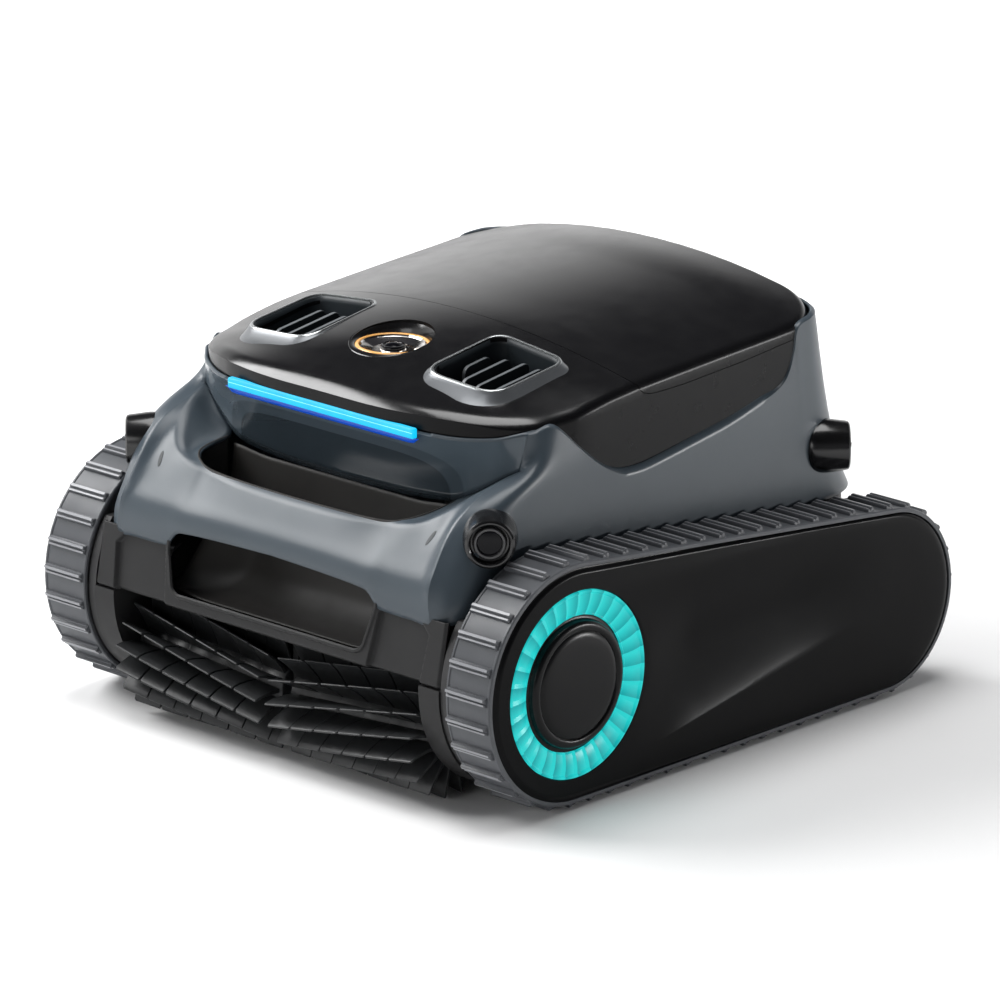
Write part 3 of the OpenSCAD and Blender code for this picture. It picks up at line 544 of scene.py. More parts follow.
def face_point(s, v):
    """The rounded band from the window's edge (0) up to the rim of the hollow (1)."""
    foot, rim = FOOT(s), RIM(s)
    x, z = lerp(foot[0], rim[0], v), lerp(foot[1], rim[2], v)
    roll = rim[1] - FACE(rim[2])
    return Vector((x, FACE(z) + roll * smooth(v) ** 1.5, z))


def floor_point(s, v):
    """From the rim (0) in to the hand hole and the foot of the nose (1), slightly dished."""
    p = RIM(s).lerp(HOLE(s), v)
    p.z -= 3.2 * math.sin(math.pi * v) * smooth((s - 4) / 3) * smooth((12.6 - s) / 2)
    return p


def front_rows():
    """The band and the hollow's floor, joined by a rounded rim."""
    face = [[] for _ in range(15)]
    fillet = [[] for _ in range(7)]
    ledge = [[] for _ in range(7)]
    for s in SPINE:
        rim = RIM(s)
        reach = min(RIM_R, 0.45 * (HOLE(s) - rim).length)
        turn_v = 1 - min(0.4, 0.5 * reach / max(0.01, (rim - face_point(s, 0.5)).length))
        turn_w = min(0.45, reach / max(0.01, (HOLE(s) - rim).length))
        for k, v in enumerate(steps(0, turn_v, 14)):
            face[k].append(face_point(s, v))
        a, b = face_point(s, turn_v), floor_point(s, turn_w)
        for k, t in enumerate(steps(0, 1, 6)):
            fillet[k].append(a.lerp(rim, t).lerp(rim.lerp(b, t), t))
        for k, w in enumerate(steps(turn_w, 1, 6)):
            ledge[k].append(floor_point(s, w))
    return face, fillet, ledge


def nose(t0, t1, n):
    """The undercut wall between the foot of the nose and the brow."""
    rows = []
    for w in [0] + RISE:
        row = []
        for t in steps(t0, t1, n):
            p = NOSE(t).lerp(BROW(t), w)
            hollow = 5 * math.sin(math.pi * w) * smooth((6.4 - t) / 3)
            p.y += hollow * 0.8
            row.append(p)
        if t1 == 7:
            row[-1] = CORNER(2 * w)
        rows.append(row)
    return rows


def side_rows():
    """Rows of the side and rear wall. The first column is the crease, then the nose's side edge."""
    edge = [Vector((FOOT(s)[0], FACE(FOOT(s)[1]), FOOT(s)[1])) for s in SPINE[CREASE:]]
    edge[-1] = RIM(13)
    edge += [CORNER(2 * w) for w in RISE]
    rows = []
    for k, start in enumerate(edge):
        v = 0.75 * k / 24 if k <= 24 else 0.75 + 0.25 * (k - 24) / 8
        line = path(start, *[column(v) for column in SIDE])
        rows.append([line(u) for u in steps(0, len(SIDE), 5 * len(SIDE))])
    return rows


def trim_row(top):
    """The bright chamfer along the shell's top edge, leaning in and away from the wall below it."""
    out = []
    n = len(top)
    for i, p in enumerate(top):
        a, b = top[max(0, i - 1)], top[min(n - 1, i + 1)]
        along = (b - a).normalized()
        lift = Vector((0, -along.z, along.y)) if abs(along.x) < 0.8 else Vector((0, 0, 1))
        if lift.z < 0:
            lift = -lift
        low = smooth((p.y + 75) / 30) * smooth((112 - p.y) / 20)
        inward = Vector((-p.x, -p.y * (p.y > 150), 0)).normalized()
        out.append(p + inward * 2.6 + lift.normalized() * lerp(2.2, 4.6, low))
    return out


def make_shell():
    skin = Skin()
    for rows in front_rows():
        skin.grid(rows)
    sides = side_rows()
    skin.grid(sides)
    brow = [BROW(t) for t in steps(TRIM_START, 7, 46)]
    brow[-1] = CORNER(2)
    edge = brow + sides[-1][1:]
    trim = trim_row(edge)
    for i, p in enumerate(brow[:-1]):
        trim[i] = p + Vector((-0.6, 1.4, 2.2)).lerp(trim[i] - p, smooth((i - 34) / 12))
    skin.grid([edge, trim])
    skin.mirror()
    shell = skin.finish("shell_skin", "chassis", "shell_grey", [SHELL], angle=28)
    solidify(shell, 2.4)
    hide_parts("upper_shell")
    return shell


def make_panel():
    """The smoked panel under the light strip, with its frame line."""
    skin = Skin()
    rows = nose(0, 7, 70)
    rows.append([p + Vector((0, 1.8, 1.6)) for p in rows[-1]])
    skin.grid(rows)
    skin.mirror()
    panel = skin.finish("smoke_panel", "chassis", "gloss_black", [SMOKE_SHADED])
    solidify(panel, 1.5)
    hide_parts("cavity_panel")


def make_scoop():
    """The hand hole's walls and the curved floor that leads down to the front window."""
    skin = Skin()
    rows = []
    for drop in (0, 1.2, 12, 30):
        row = []
        for s in steps(0, 9, 60):
            p = HOLE(s) + Vector((0, 0, -drop))
            p.x += 0.3 * smooth(drop / 2) * (1 if p.x > 60 else 0)
            row.append(p)
        rows.append(row)
    skin.grid(rows)
    line = path((-157, 190), (-159, 172), (-161.5, 150), (-166, 130), (-176, 112), (-190, 103),
                (-206, 99.5), (-222, 98.5))
    rows = []
    for t in steps(0, 7, 42):
        y, z = line(t)
        row = []
        for x in steps(0, 106, 30):
            turn = smooth((x - 70) / 36)
            row.append((x, y - 26 * turn * smooth((t - 1) / 3) * (1 - smooth((t - 5) / 2)), z + 3 * turn))
        rows.append(row)
    skin.grid(rows)
    skin.mirror()
    scoop = skin.finish("hand_scoop", "chassis", "gloss_black", [SCOOP], angle=50)
    solidify(scoop, 1.5, 1)
    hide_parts("cavity_scoop")


make_shell()
make_panel()
make_scoop()

# ---------- roof and lid ----------

ROOF_HW, ROOF_REAR = 165.5, 168.3
# Height of the roof along its middle.
RIDGE = profile((-179, 261.4), (-166, 265.5), (-152, 270), (-140, 273.8), (-125, 277.8), (-109, 281),
                (-80, 285.6), (-50, 289), (0, 292), (50, 294.4), (100, 296.4), (140, 297.9), (170, 297.2))
EDGE_R = 6                      # rounding of the cap's edge at the sides and the rear
FRONT_ROLL = 12                 # reach of the front edge's longer roll
# How much of the crown's fall towards the sides applies at each y.
CROWN = profile((-179, 0.1), (-168, 0.42), (-152, 0.76), (-125, 1), (-60, 1.02), (170, 0.98))

# Front right corner of the roof's outline, from the front's middle to the straight side.
ROOF_CORNER = path((0, -179), (45, -178.8), (90, -174.6), (112, -167.8), (132, -157.4), (143.5, -149),
                   (153, -139.4), (160.4, -127), (164, -113), (165.5, -95))


def roof_z(x, y):
    return RIDGE(y) - x * x / 1132 * CROWN(y)


def belt_z(y):
    return BELT(clamp(y, -179, 168))


# Lower edge of the roof's skirt, which dips along each side as the belt panel.
BELT = profile((-179, 249.2), (-174.6, 248.2), (-168, 245.8), (-150, 246.2), (-128, 250), (-119, 251.5),
               (-110, 243), (-97, 228), (-76, 210), (-55, 199), (-36, 197), (0, 203), (56, 211), (108, 224),
               (119, 231), (129, 250), (140, 262), (168, 266))


def roof_outline(inset):
    """The roof's outline from the front's middle round by +X, moved inward."""
    right_side = ([tuple(ROOF_CORNER(t)) for t in steps(0, 9, 45)]
                  + [(ROOF_HW, y) for y in steps(-95, ROOF_REAR - 46, 14)][1:-1]
                  + arc(ROOF_HW - 46, ROOF_REAR - 46, 46, 0, 90, 16)
                  + [(x, ROOF_REAR) for x in steps(ROOF_HW - 46, 0, 5)][1:])
    ring = [Vector(p) for p in right_side + [(-x, y) for x, y in reversed(right_side[1:-1])]]
    moved = []
    for i, p in enumerate(ring):
        along = (ring[(i + 1) % len(ring)] - ring[i - 1]).normalized()
        ledge = 2.4 * smooth((-90 - p.y) / 25) * smooth((abs(p.x) - 60) / 50)
        moved.append(p + Vector((-along.y, along.x)) * (inset + ledge))
    return moved


def cap_ring(outline, k, inset):
    """One ring of the roof: k runs from the spine (0) to the outline (1)."""
    row = []
    for x, y in outline:
        spine = clamp(y * 0.75, -95, 95)
        px, py = x * k, lerp(spine, y, k)
        reach = math.hypot(x - px, y - py)
        front = smooth((-95 - y) / 75)
        rear_drop = 0
        if reach < EDGE_R:
            rear_drop = 0.9 * (EDGE_R - math.sqrt(EDGE_R**2 - (EDGE_R - reach) ** 2))
        front_drop = 0.64 * max(0, FRONT_ROLL - reach) ** 2 / (2 * FRONT_ROLL)
        row.append((px, py, roof_z(px, py) - lerp(rear_drop, front_drop, front) - inset))
    return row


def roof_cap():
    """The whole roof with its skirt, as one closed wall; the seam then parts it into frame and lid."""
    skin = Skin()
    sides = []
    for inset in (0, 2.8):
        outline = roof_outline(inset)
        rows = [cap_ring(outline, k, inset) for k in steps(0, 0.9, 22)]
        for reach in (0.915, 0.93, 0.942, 0.952, 0.962, 0.97, 0.978, 0.984, 0.989, 0.993, 0.996, 0.9985, 1):
            rows.append(cap_ring(outline, reach, inset))
        top = rows[-1]
        for v in steps(0, 1, 10)[1:]:
            rows.append([(x, y, lerp(z, belt_z(y), v)) for x, y, z in top])
        sides.append(rows)
        skin.grid(rows, around=True)
    skin.grid([sides[0][-1], sides[1][-1]], around=True)
    return skin


def seam_region(shift, name):
    """The space that belongs to the lid, moved rearward and up by shift."""
    side = [(-54 + shift, 330), (-46 + shift, 290), (-38 + shift, 268), (-34 + shift, 261.5),
            (-30 + shift, 258 + shift), (-24, 256.2 + shift), (-16, 255.5 + shift), (11, 255.5 + shift),
            (73, 258.8 + shift), (125, 263.4 + shift), (150, 265.4 + shift), (230, 268 + shift), (230, 330)]
    bow = [(x, -50 + shift + 12 * (x / 162) ** 2) for x in steps(-180, 180, 60)]
    region = prism(name, bow + [(180, 230), (-180, 230)], "Z", 200, 330)
    return cut(region, [prism("side", side, "X", -200, 200)], "INTERSECT")


def rounded(cx, cy, hx, hy, r, n=8):
    """A rounded rectangle about (cx, cy)."""
    out = []
    for sx, sy, a in ((1, -1, -90), (1, 1, 0), (-1, 1, 90), (-1, -1, 180)):
        out += arc(cx + sx * (hx - r), cy + sy * (hy - r), r, a, a + 90, n)
    return out


VENT_X, VENT_Y = 89, -96
SENSOR_Y = -107
HINGE_Y, HINGE_Z = 172, 267
KNUCKLE_IN, KNUCKLE_OUT = 67, 83


def make_roof():
    frame_part = roof_cap().finish("roof_frame", "chassis", "gloss_black", [ROOF, ROOF_SHADED], angle=50)
    lid_part = roof_cap().finish("lid_skin", "lid", "gloss_black", [ROOF, ROOF_SHADED], angle=50)
    cut(lid_part, [seam_region(0.25, "lid_space")], "INTERSECT")
    holes = [prism("vent_hole", rounded(side * VENT_X, VENT_Y, 31, 35, 13), "Z", 230, 320)
             for side in (-1, 1)]
    holes.append(prism("sensor_hole", arc(0, SENSOR_Y, 29.5, 0, 352.5, 47), "Z", 230, 320))
    cut(frame_part, [seam_region(-0.25, "frame_space")] + holes)
    for part in (frame_part, lid_part):
        part.data.shade_smooth()
        part.data.set_sharp_from_angle(angle=math.radians(32))
        # Faces that face sideways or down take the darker roof black: painted shade on the skirt and belt
        # panel.
        for face in part.data.polygons:
            if face.normal.z < 0.4:
                face.material_index = 1
    knuckles = Skin()
    for side in (-1, 1):
        line = [(1.6, KNUCKLE_IN), (3.4, KNUCKLE_IN), (3.4, KNUCKLE_OUT), (1.6, KNUCKLE_OUT),
                (1.6, KNUCKLE_IN)]
        revolve(knuckles, line, lambda a, b, h: (side * h, HINGE_Y + a, HINGE_Z + b), 32)
        x0, x1 = sorted((side * KNUCKLE_IN, side * KNUCKLE_OUT))
        for z in (263.8, 270.2):
            knuckles.grid([[(x0, y, z), (x1, y, z)] for y in (166, HINGE_Y)])
    solid = knuckles.finish("lid_knuckles", "lid", "gloss_black", [ROOF])
    solidify(solid, 0.8)
    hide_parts("top_frame")
    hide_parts("filter_lid")


# ---------- top vents ----------

VENT_RIM = ((57.5, -135, 275.6), (121, -132, 270.6), (121, -61.5, 279.6), (57.5, -60.5, 285.8))
VENT_FOOT = ((51.5, -159), (128, -150), (130.5, -57.5), (50.4, -56.5))


def rounded_quad(corners, radius, n=9):
    """Rounds the corners of a four-sided outline."""
    out = []
    for i in range(4):
        a, b, c = (Vector(corners[(i + k) % 4][:2]) for k in (-1, 0, 1))
        r = radius[i]
        p, q = b + (a - b).normalized() * r, b + (c - b).normalized() * r
        for t in steps(0, 1, n):
            out.append(p.lerp(b, t).lerp(b.lerp(q, t), t))
    return out


def rim_z(p):
    (x0, y0, a), (x1, _, b), (_, y1, c), (_, _, d) = VENT_RIM
    u, v = (p[0] - x0) / (x1 - x0), (p[1] - y0) / (y1 - y0)
    return lerp(lerp(a, b, u), lerp(d, c, u), v)


def make_vent(side):
    name = "left" if side < 0 else "right"
    inner = rounded_quad(VENT_RIM, (17, 17, 13, 13))
    outer = rounded_quad([(x + dx, y + dy) for (x, y, z), (dx, dy) in
                          zip(VENT_RIM, ((-2.2, -2.2), (2.2, -2.2), (2.2, 1.6), (-1.6, 1.6)))],
                         (19, 19, 14, 14))
    foot = rounded_quad(VENT_FOOT, (26, 32, 13, 13))
    rows = []
    for out, drop in ((0, 1.6), (0, 0.3), (0.35, 0), (0.75, 0.15), (1, 1.0)):
        rows.append([(p[0], p[1], rim_z(p) - drop) for p in (a.lerp(b, out) for a, b in zip(inner, outer))])
    for t in steps(0, 1, 8)[1:]:
        row = []
        for a, b in zip(outer, foot):
            p = a.lerp(b, t)
            base = roof_z(p[0], p[1]) - 0.6
            top = rim_z(a) - 1.0
            end = roof_z(b[0], b[1]) - 0.8
            z = lerp(top, end, 1 - (1 - t) ** 1.55)
            row.append((p[0], p[1], max(z, base)))
        rows.append(row)
    skin = Skin()
    skin.grid([[(side * x, y, z) for x, y, z in row] for row in rows], around=True)
    vent = skin.finish(f"vent_surround_{name}", "chassis", "vent_metal", [VENT, VENT_EDGE_HIGHLIGHT], angle=50)
    # The rim rows take the lighter vent metal: painted highlight along the inner rim.
    for face in vent.data.polygons:
        if face.index < 4 * len(inner):
            face.material_index = 1
    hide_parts(f"vent_frame_{name}")

    fins = Skin()
    for x, front, rear in ((65, -104, -78), (78, -119, -72), (92, -121, -68), (106, -117, -68)):
        tip = arc(front + 5, -13, 5, 180, 90, 5)
        tail = arc(rear - 5, -13, 5, 90, 0, 5)
        edge = [(front, -32)] + tip + tail + [(rear, -32)]
        for dx in (-1.5, 1.5):
            fins.grid([[(side * (x + dx), y, rim_z((x, y)) + z) for y, z in edge],
                       [(side * (x + dx), 0.5 * (front + rear), rim_z((x, y)) - 32) for y, z in edge]])
        # The crest strip takes the lighter fin material: painted highlight along each fin's top.
        fins.grid([[(side * (x + dx), y, rim_z((x, y)) + z) for y, z in edge] for dx in (-1.5, 1.5)], slot=1)
    blades = fins.finish(f"vent_blades_{name}", "chassis", "vent_black", [FINS, FIN_CREST_HIGHLIGHT], angle=45)
    bevel(blades, 0.45, 2)
    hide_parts(f"vent_fins_{name}")

    well = Skin()
    rows = [[(p[0], p[1], rim_z(p) - drop) for p in inner] for drop in (1.5, 6, 18, 34)]
    well.grid([[(side * x, y, z) for x, y, z in row] for row in rows], around=True)
    well.fan([(side * p[0], p[1], rim_z(p) - 33.5) for p in inner])
    floor = well.finish(f"vent_well_{name}", "chassis", "vent_black", [FINS])
    solidify(floor, 0.8)


# ---------- round sensor in the roof ----------


def make_top_sensor():
    level = 274.6

    def put(a, b, h):
        return (a, SENSOR_Y + b, h)

    bezel = Skin()
    rows = []
    for t in steps(0, 1, 8):
        row = []
        for a in steps(0, 2 * math.pi, 96)[:-1]:
            r = lerp(26.7, 31.4, t)
            x, y = r * math.cos(a), r * math.sin(a)
            top = roof_z(x, SENSOR_Y + y) + 0.4
            row.append(put(x, y, lerp(min(level + 1.4, top), top, t**0.6) - (0.9 if t == 1 else 0)))
        rows.append(row)
    bezel.grid(rows, around=True)
    piece = bezel.finish("sensor_bevel", "chassis", "bezel_grey", [POD], angle=60)
    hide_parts("top_sensor_bezel")

    ring = Skin()
    line = [(23.4, -1), (23.6, 1.6), (24.2, 2.1), (26, 2.1), (26.6, 1.2)]
    revolve(ring, [(r, level + h) for r, h in line], put, 96)
    piece = ring.finish("sensor_ring", "chassis", "amber", [AMBER], angle=60)
    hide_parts("top_sensor_ring")

    cone = Skin()
    facets = 12
    rows = []
    for r, h, twist in ((23.4, 1.6, 0), (22.4, 0.4, 0), (15, -2.2, 0.5), (9, -2.6, 0), (8.6, -1.4, 0)):
        turns = [math.pi * (i + twist * (i % 2) * 0.6) / facets for i in range(2 * facets)]
        rows.append([put(r * math.cos(a), r * math.sin(a), level + h) for a in turns])
    cone.grid(rows, around=True)
    piece = cone.finish("sensor_reflector", "chassis", "reflector", [CHROME], angle=8)
    bevel(piece, 0.25, 2, 8)
    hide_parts("top_sensor_reflector")

    hub = Skin()
    line = [(8.7, -2.6), (8.7, 0.4), (8.2, 1.2), (6.8, 1.3), (6.3, 0.8), (4, 1.9), (2, 2.4), (0.01, 2.5)]
    revolve(hub, [(r, level + h) for r, h in line], put, 64)
    piece = hub.finish("sensor_hub", "chassis", "lens_dark", [LENS], angle=40)
    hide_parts("top_sensor_lens")


# ---------- corner sensor pods ----------


def pod_frame(sx, sy):
    tip = Vector((177.3, 195.3, 189)) if sy < 0 else Vector((177.8, 172.2, 178))
    heading = math.atan2(sy, sx)
    out = Vector((math.cos(heading), math.sin(heading), 0))
    side = Vector((-out.y, out.x, 0))
    origin = Vector((sx * tip.x, sy * tip.y, tip.z))
    return lambda a, b, h: origin + side * a + Vector((0, 0, b)) + out * h


def make_pods():
    body, glass = Skin(), Skin()
    shell_line = ([(10 + r, h) for r, h in arc(0.4, -25, 9, -90, 0, 8)]
                  + [(19.4, -18), (19.1, -15), (17.6, -3.2), (17, -1.2), (15.6, -0.2), (14.6, -0.2),
                     (13.9, -0.9), (13.4, -3.2), (12.9, -5.5), (10.8, -6)])
    ring_line = [(10.9, -6.4), (10.9, -3.6), (10.5, -3), (9.3, -3), (8.9, -3.6), (8.7, -5.8)]
    lens_line = [(8.75, -5.9), (8.6, -5.2), (8.0, -5.0), (0.02, -5.0)]
    for sx in (-1, 1):
        for sy in (-1, 1):
            put = pod_frame(sx, sy)
            revolve(body, shell_line, put, 72)
            revolve(glass, ring_line, put, 72, slot=1)
            revolve(glass, lens_line, put, 72)
            body.grid([[put(a * sx * sy * -1, b, h) for a, b in ((14.4, 3.2), (17.4, 7.4))]
                       for h in (-0.6, 0.05, 0.05, -0.6)])
    bodies = body.finish("pod_bodies", "chassis", "sensor_black", [POD], angle=30)
    lenses = glass.finish("pod_lenses", "chassis", "lens_dark", [LENS, POD_RING], angle=30)
    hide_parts("sensor_housings")
    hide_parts("sensor_lenses")


make_roof()
for side in (-1, 1):
    make_vent(side)
make_top_sensor()
make_pods()

# ---------- light strip ----------


def make_strip():
    """The blue bar with a bright line along it, and below it a glowing band: painted light of the bar falling
    on the panel.
    """
    half = 90
    skin = Skin()
    line = [(-176, 241.8), (-179.4, 241.8), (-180.2, 242.6), (-180.2, 245.4), (-179.9, 245.6),
            (-179.9, 245.95), (-180.2, 246.15), (-180.2, 248.2), (-179.4, 249), (-176, 249)]
    rows = []
    for x in [-half, -half + 0.8] + steps(-half + 3, half - 3, 30) + [half - 0.8, half]:
        row = []
        for y, z in line:
            if abs(x) == half:
                y += 0.8 * (y < -179)
                z += 0.7 if z < 245 else -0.7
            row.append((x, y, z))
        rows.append(row)
    skin.grid(rows)
    skin.fan(list(reversed(rows[0])))
    skin.fan(rows[-1])
    bar = skin.finish("strip_light", "chassis", "strip_light", [STRIP, STRIP_LINE], angle=50)
    for face in bar.data.polygons:
        if 245.55 < face.center.z / MM < 246 and face.normal.y < -0.3:
            face.material_index = 1
    # The band below the bar glows: painted light that stands for the bar's light on the panel below.
    glow = Skin()
    rows = []
    for x in steps(-half - 3, half + 3, 40):
        fade = smooth((half + 3 - abs(x)) / 6)
        rows.append([(x, -178.9 + 0.35 * (242 - z), lerp(242, z, fade)) for z in (242, 240.6, 239.2, 237.8)])
    glow.grid(rows)
    band = glow.finish("strip_light_spill", "chassis", "strip_light", [STRIP_SPILL])
    solidify(band, 0.6, 1)
    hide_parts("light_strip")


# ---------- front frame ----------


def front_y(z):
    """The front frame's face leans back as it rises."""
    return -236 + 0.19 * (z - 93)


FRAME_FOOT, FRAME_TOP = 93.4, 138.6

# Right half of the window's edge, as (x, z), from the middle of its foot to its top.
WINDOW = [(0, 104), (84.6, 104)] + arc(84.6, 113, 9, -90, -4, 8)[1:] + [(99.4, 134), (99.4, 140)]
# Straight edges of the dark pocket beside the window, as (nx, nz, reach).
POCKET = [(-0.99, 0.14, -84.6), (0, 1, 134.4), (0.995, -0.1, 138.6), (0.7, 0.714, 197)]


def window_top(x):
    """The lower edge of the opening above x, or the frame's top beside it."""
    for (xa, za), (xb, zb) in zip(WINDOW[:-1], WINDOW[1:]):
        if xa <= x <= xb and xb > xa:
            return lerp(za, zb, (x - xa) / (xb - xa))
    return FRAME_TOP


def edge_distance(x, z):
    """How far (x, z) lies from the window's edge."""
    best = 99
    p = Vector((x, z))
    for a, b in zip(WINDOW[:-1], WINDOW[1:]):
        a, b = Vector(a), Vector(b)
        t = clamp((p - a).dot(b - a) / (b - a).length_squared, 0, 1)
        best = min(best, (p - a.lerp(b, t)).length)
    return best


def frame_relief(x, z):
    """How far the face steps back (+) or forward (-) from its plane."""
    lip = edge_distance(x, z)
    raised = -1.3 * smooth((3.4 - lip) / 1.0) + 1.1 * smooth((0.8 - lip) / 0.8)
    inside = max(nx * x + nz * z - reach for nx, nz, reach in POCKET)
    pocket = 3.6 * smooth((0.9 - inside) / 2.2) * smooth((lip - 3.2) / 1.2)
    foot = 2.2 * (1 - smooth((z - FRAME_FOOT) / 2.6)) ** 2
    side = 1.6 * smooth((x - 165.5) / 2.5)
    return raised + pocket + foot + side


def make_front_frame():
    columns = sorted(steps(0, 82, 34) + steps(83, 100.6, 34) + [99.41] + steps(101.2, 106, 7)
                     + steps(107.5, 137, 16) + steps(138, 168, 46))
    rows = [[] for _ in range(61)]
    for x in columns:
        top = window_top(x)
        for k, z in enumerate([FRAME_FOOT, 93.8, 94.3, 95, 96] + steps(97, top, 55)):
            rows[k].append((x, front_y(z) + frame_relief(x, z), z))
    skin = Skin()
    skin.grid(rows)
    skin.grid([[(x, -208, FRAME_FOOT) for x in columns], rows[0]])
    skin.mirror()
    face = skin.finish("front_frame_skin", "chassis", "frame_black", [FRAME], angle=50)
    solidify(face, 2.2)
    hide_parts("front_frame")


def band_y(x, z):
    """Depth of the front band at (x, z), found along the spine's stations."""
    s, v, reach = 8, 0.5, 0.5
    for width in (3, 0.3, 0.03):
        found = []
        for i in steps(-1, 1, 24):
            for j in steps(-1, 1, 24):
                a, b = s + i * width, clamp(v + j * reach, 0, 1)
                p = face_point(a, b)
                found.append(((p.x - x) ** 2 + (p.z - z) ** 2, a, b, p.y))
        _, s, v, y = min(found)
        reach /= 8
    return y


def make_slots():
    """A short slanted slot on each side of the band, edged and capped with black: the black cap is painted
    shade of the slot's opening.
    """
    outline = []
    for a in steps(0, 2 * math.pi, 16)[:-1]:
        u, v = 1.5 * math.cos(a), 4.6 * math.sin(a)
        x, z = 131.5 + u + 0.3 * v, 186.5 + v
        outline.append((x, band_y(x, z), z))
    skin = Skin()
    rows = [[(x, y + depth, z) for x, y, z in outline] for depth in (1.6, -0.3)]
    skin.grid(rows, around=True)
    skin.fan(rows[1])
    skin.mirror()
    skin.finish("band_slots", "chassis", "vent_black", [FINS])


# ---------- brush ----------

BRUSH_Y = AXLE_Y - 62 * math.cos(math.radians(45))
BRUSH_Z = AXLE_Z - 62 * math.sin(math.radians(45))
BLADES, FINGERS = 16, 6         # rows round the brush, and fingers along a row
TWIST = 34                      # turn of a row along the brush, in degrees
# A finger from root to tip, as (radius, half thickness, lean in degrees, inset of each end).
FINGER = [(16.5, 1.5, 0, 0), (26, 1.3, 0.6, 0), (36, 1.05, 2.2, 0), (42.6, 0.9, 4.2, 0),
          (43.9, 0.55, 4.8, 0.9)]


def brush_point(x, r, degrees):
    a = math.radians(degrees)
    return (x, BRUSH_Y + r * math.cos(a), BRUSH_Z + r * math.sin(a))


def make_brush(side):
    """Rubber fingers in twisted rows; they meet in a V at the middle of the machine."""
    name = "left" if side < 0 else "right"
    skin = Skin()
    width = (147 - 4 - 1) / FINGERS
    for blade in range(BLADES):
        for finger in range(FINGERS):
            x0 = 4.5 + finger * width + 0.5
            x1 = x0 + width - 1.0
            base = 360 * blade / BLADES + 17 - TWIST * finger / FINGERS
            step = TWIST / FINGERS
            rings = []
            for r, half, lean, inset in FINGER:
                ring = []
                skew = (r - 30) * 0.09
                for x, turn in ((x0 + inset, 0), (x1 - inset, -step)):
                    ring.append((clamp(x - skew, 4.4, 146.4), r, base + turn * 0.85 + lean, half))
                rings.append(ring)
            loops = []
            for (xa, r, aa, half), (xb, _, ab, _) in rings:
                da = math.degrees(half / r)
                loops.append([brush_point(side * xa, r, aa - da), brush_point(side * xb, r, ab - da),
                              brush_point(side * xb, r, ab + da), brush_point(side * xa, r, aa + da)])
            skin.grid(loops, around=True)
            skin.fan(loops[-1])
    brush = skin.finish(f"brush_fingers_{name}", f"brush_half_{name}", "brush_rubber", [BRUSH], angle=30)
    bevel(brush, 0.45, 2, 50)

    core = Skin()
    line = [(4.2, 4.2), (17.4, 4.2), (18, 4.8)]
    for k in range(FINGERS):
        x = 4.5 + k * width
        line += [(18, x + 0.4), (18.3, x + 1), (18.3, x + width - 1), (18, x + width - 0.4)]
    line += [(17.4, 146.8), (8.2, 147), (8, 147.2), (8, 161.8), (4.2, 161.8)]
    revolve(core, line, lambda a, b, h: (side * h, BRUSH_Y + a, BRUSH_Z + b), 64)
    core.finish(f"brush_core_{name}", f"brush_half_{name}", "brush_rubber", [BRUSH], angle=35)
    gear = Skin()
    outline = []
    for tooth in range(BLADES):
        for r, shift in ((13.6, -6), (13.6, -5), (17.5, -2), (17.5, 2), (13.6, 5), (13.6, 6)):
            outline.append((r, 360 * tooth / BLADES + shift + 4.5))
    gear.grid([[brush_point(side * x, r, a) for r, a in outline] for x in (154.2, 161.8)], around=True)
    for x in (154.2, 161.8):
        gear.grid([[brush_point(side * x, r, a) for r, a in outline],
                   [brush_point(side * x, 8.1, a) for r, a in outline]], around=True)
    gear.finish(f"brush_gear_{name}", f"brush_half_{name}", "brush_rubber", [BRUSH], angle=25)
    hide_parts(f"brush_{name}")


# ---------- tracks ----------

BASE = 324                      # from the front wheel's axle to the rear one
FRONT_R, REAR_R = 89, 71        # to the tips of the lugs
REAR_Y = AXLE_Y + BASE
LUGS = 57
LUG_H, BELT_T = 3.8, 2.2
TRACK_IN, TRACK_W = 176.5, 41
LEAN = math.degrees(math.asin((FRONT_R - REAR_R) / math.hypot(BASE, FRONT_R - REAR_R)))
SLOPE = math.degrees(math.atan((FRONT_R - REAR_R) / BASE))
RUN = BASE / math.cos(math.radians(SLOPE)) * math.cos(math.radians(LEAN))
FRONT_WRAP, REAR_WRAP = 180 + 2 * LEAN, 180 - 2 * LEAN
MID = LUG_H + BELT_T / 2
FRONT_ARC = (FRONT_R - MID) * math.radians(FRONT_WRAP)
REAR_ARC = (REAR_R - MID) * math.radians(REAR_WRAP)
PATH = 2 * RUN + FRONT_ARC + REAR_ARC
TOP_A = 90 - SLOPE - LEAN


def path_point(s, drop):
    """A point of the belt's side view: s along the belt, drop inside the lug tips."""
    s %= PATH
    if s < REAR_ARC:
        centre, r, a = (REAR_Y, REAR_R), REAR_R, TOP_A - REAR_WRAP + REAR_WRAP * s / REAR_ARC
    elif s < REAR_ARC + RUN:
        k = (s - REAR_ARC) / RUN
        r, a = lerp(REAR_R, FRONT_R, k), TOP_A
        centre = (REAR_Y - BASE * k, r)
    elif s < REAR_ARC + RUN + FRONT_ARC:
        k = (s - REAR_ARC - RUN) / FRONT_ARC
        centre, r, a = (AXLE_Y, FRONT_R), FRONT_R, TOP_A + FRONT_WRAP * k
    else:
        k = (s - REAR_ARC - RUN - FRONT_ARC) / RUN
        r, a = lerp(FRONT_R, REAR_R, k), TOP_A + FRONT_WRAP
        centre = (AXLE_Y + BASE * k, r)
    a = math.radians(a)
    return centre[0] + (r - drop) * math.cos(a), centre[1] + (r - drop) * math.sin(a)


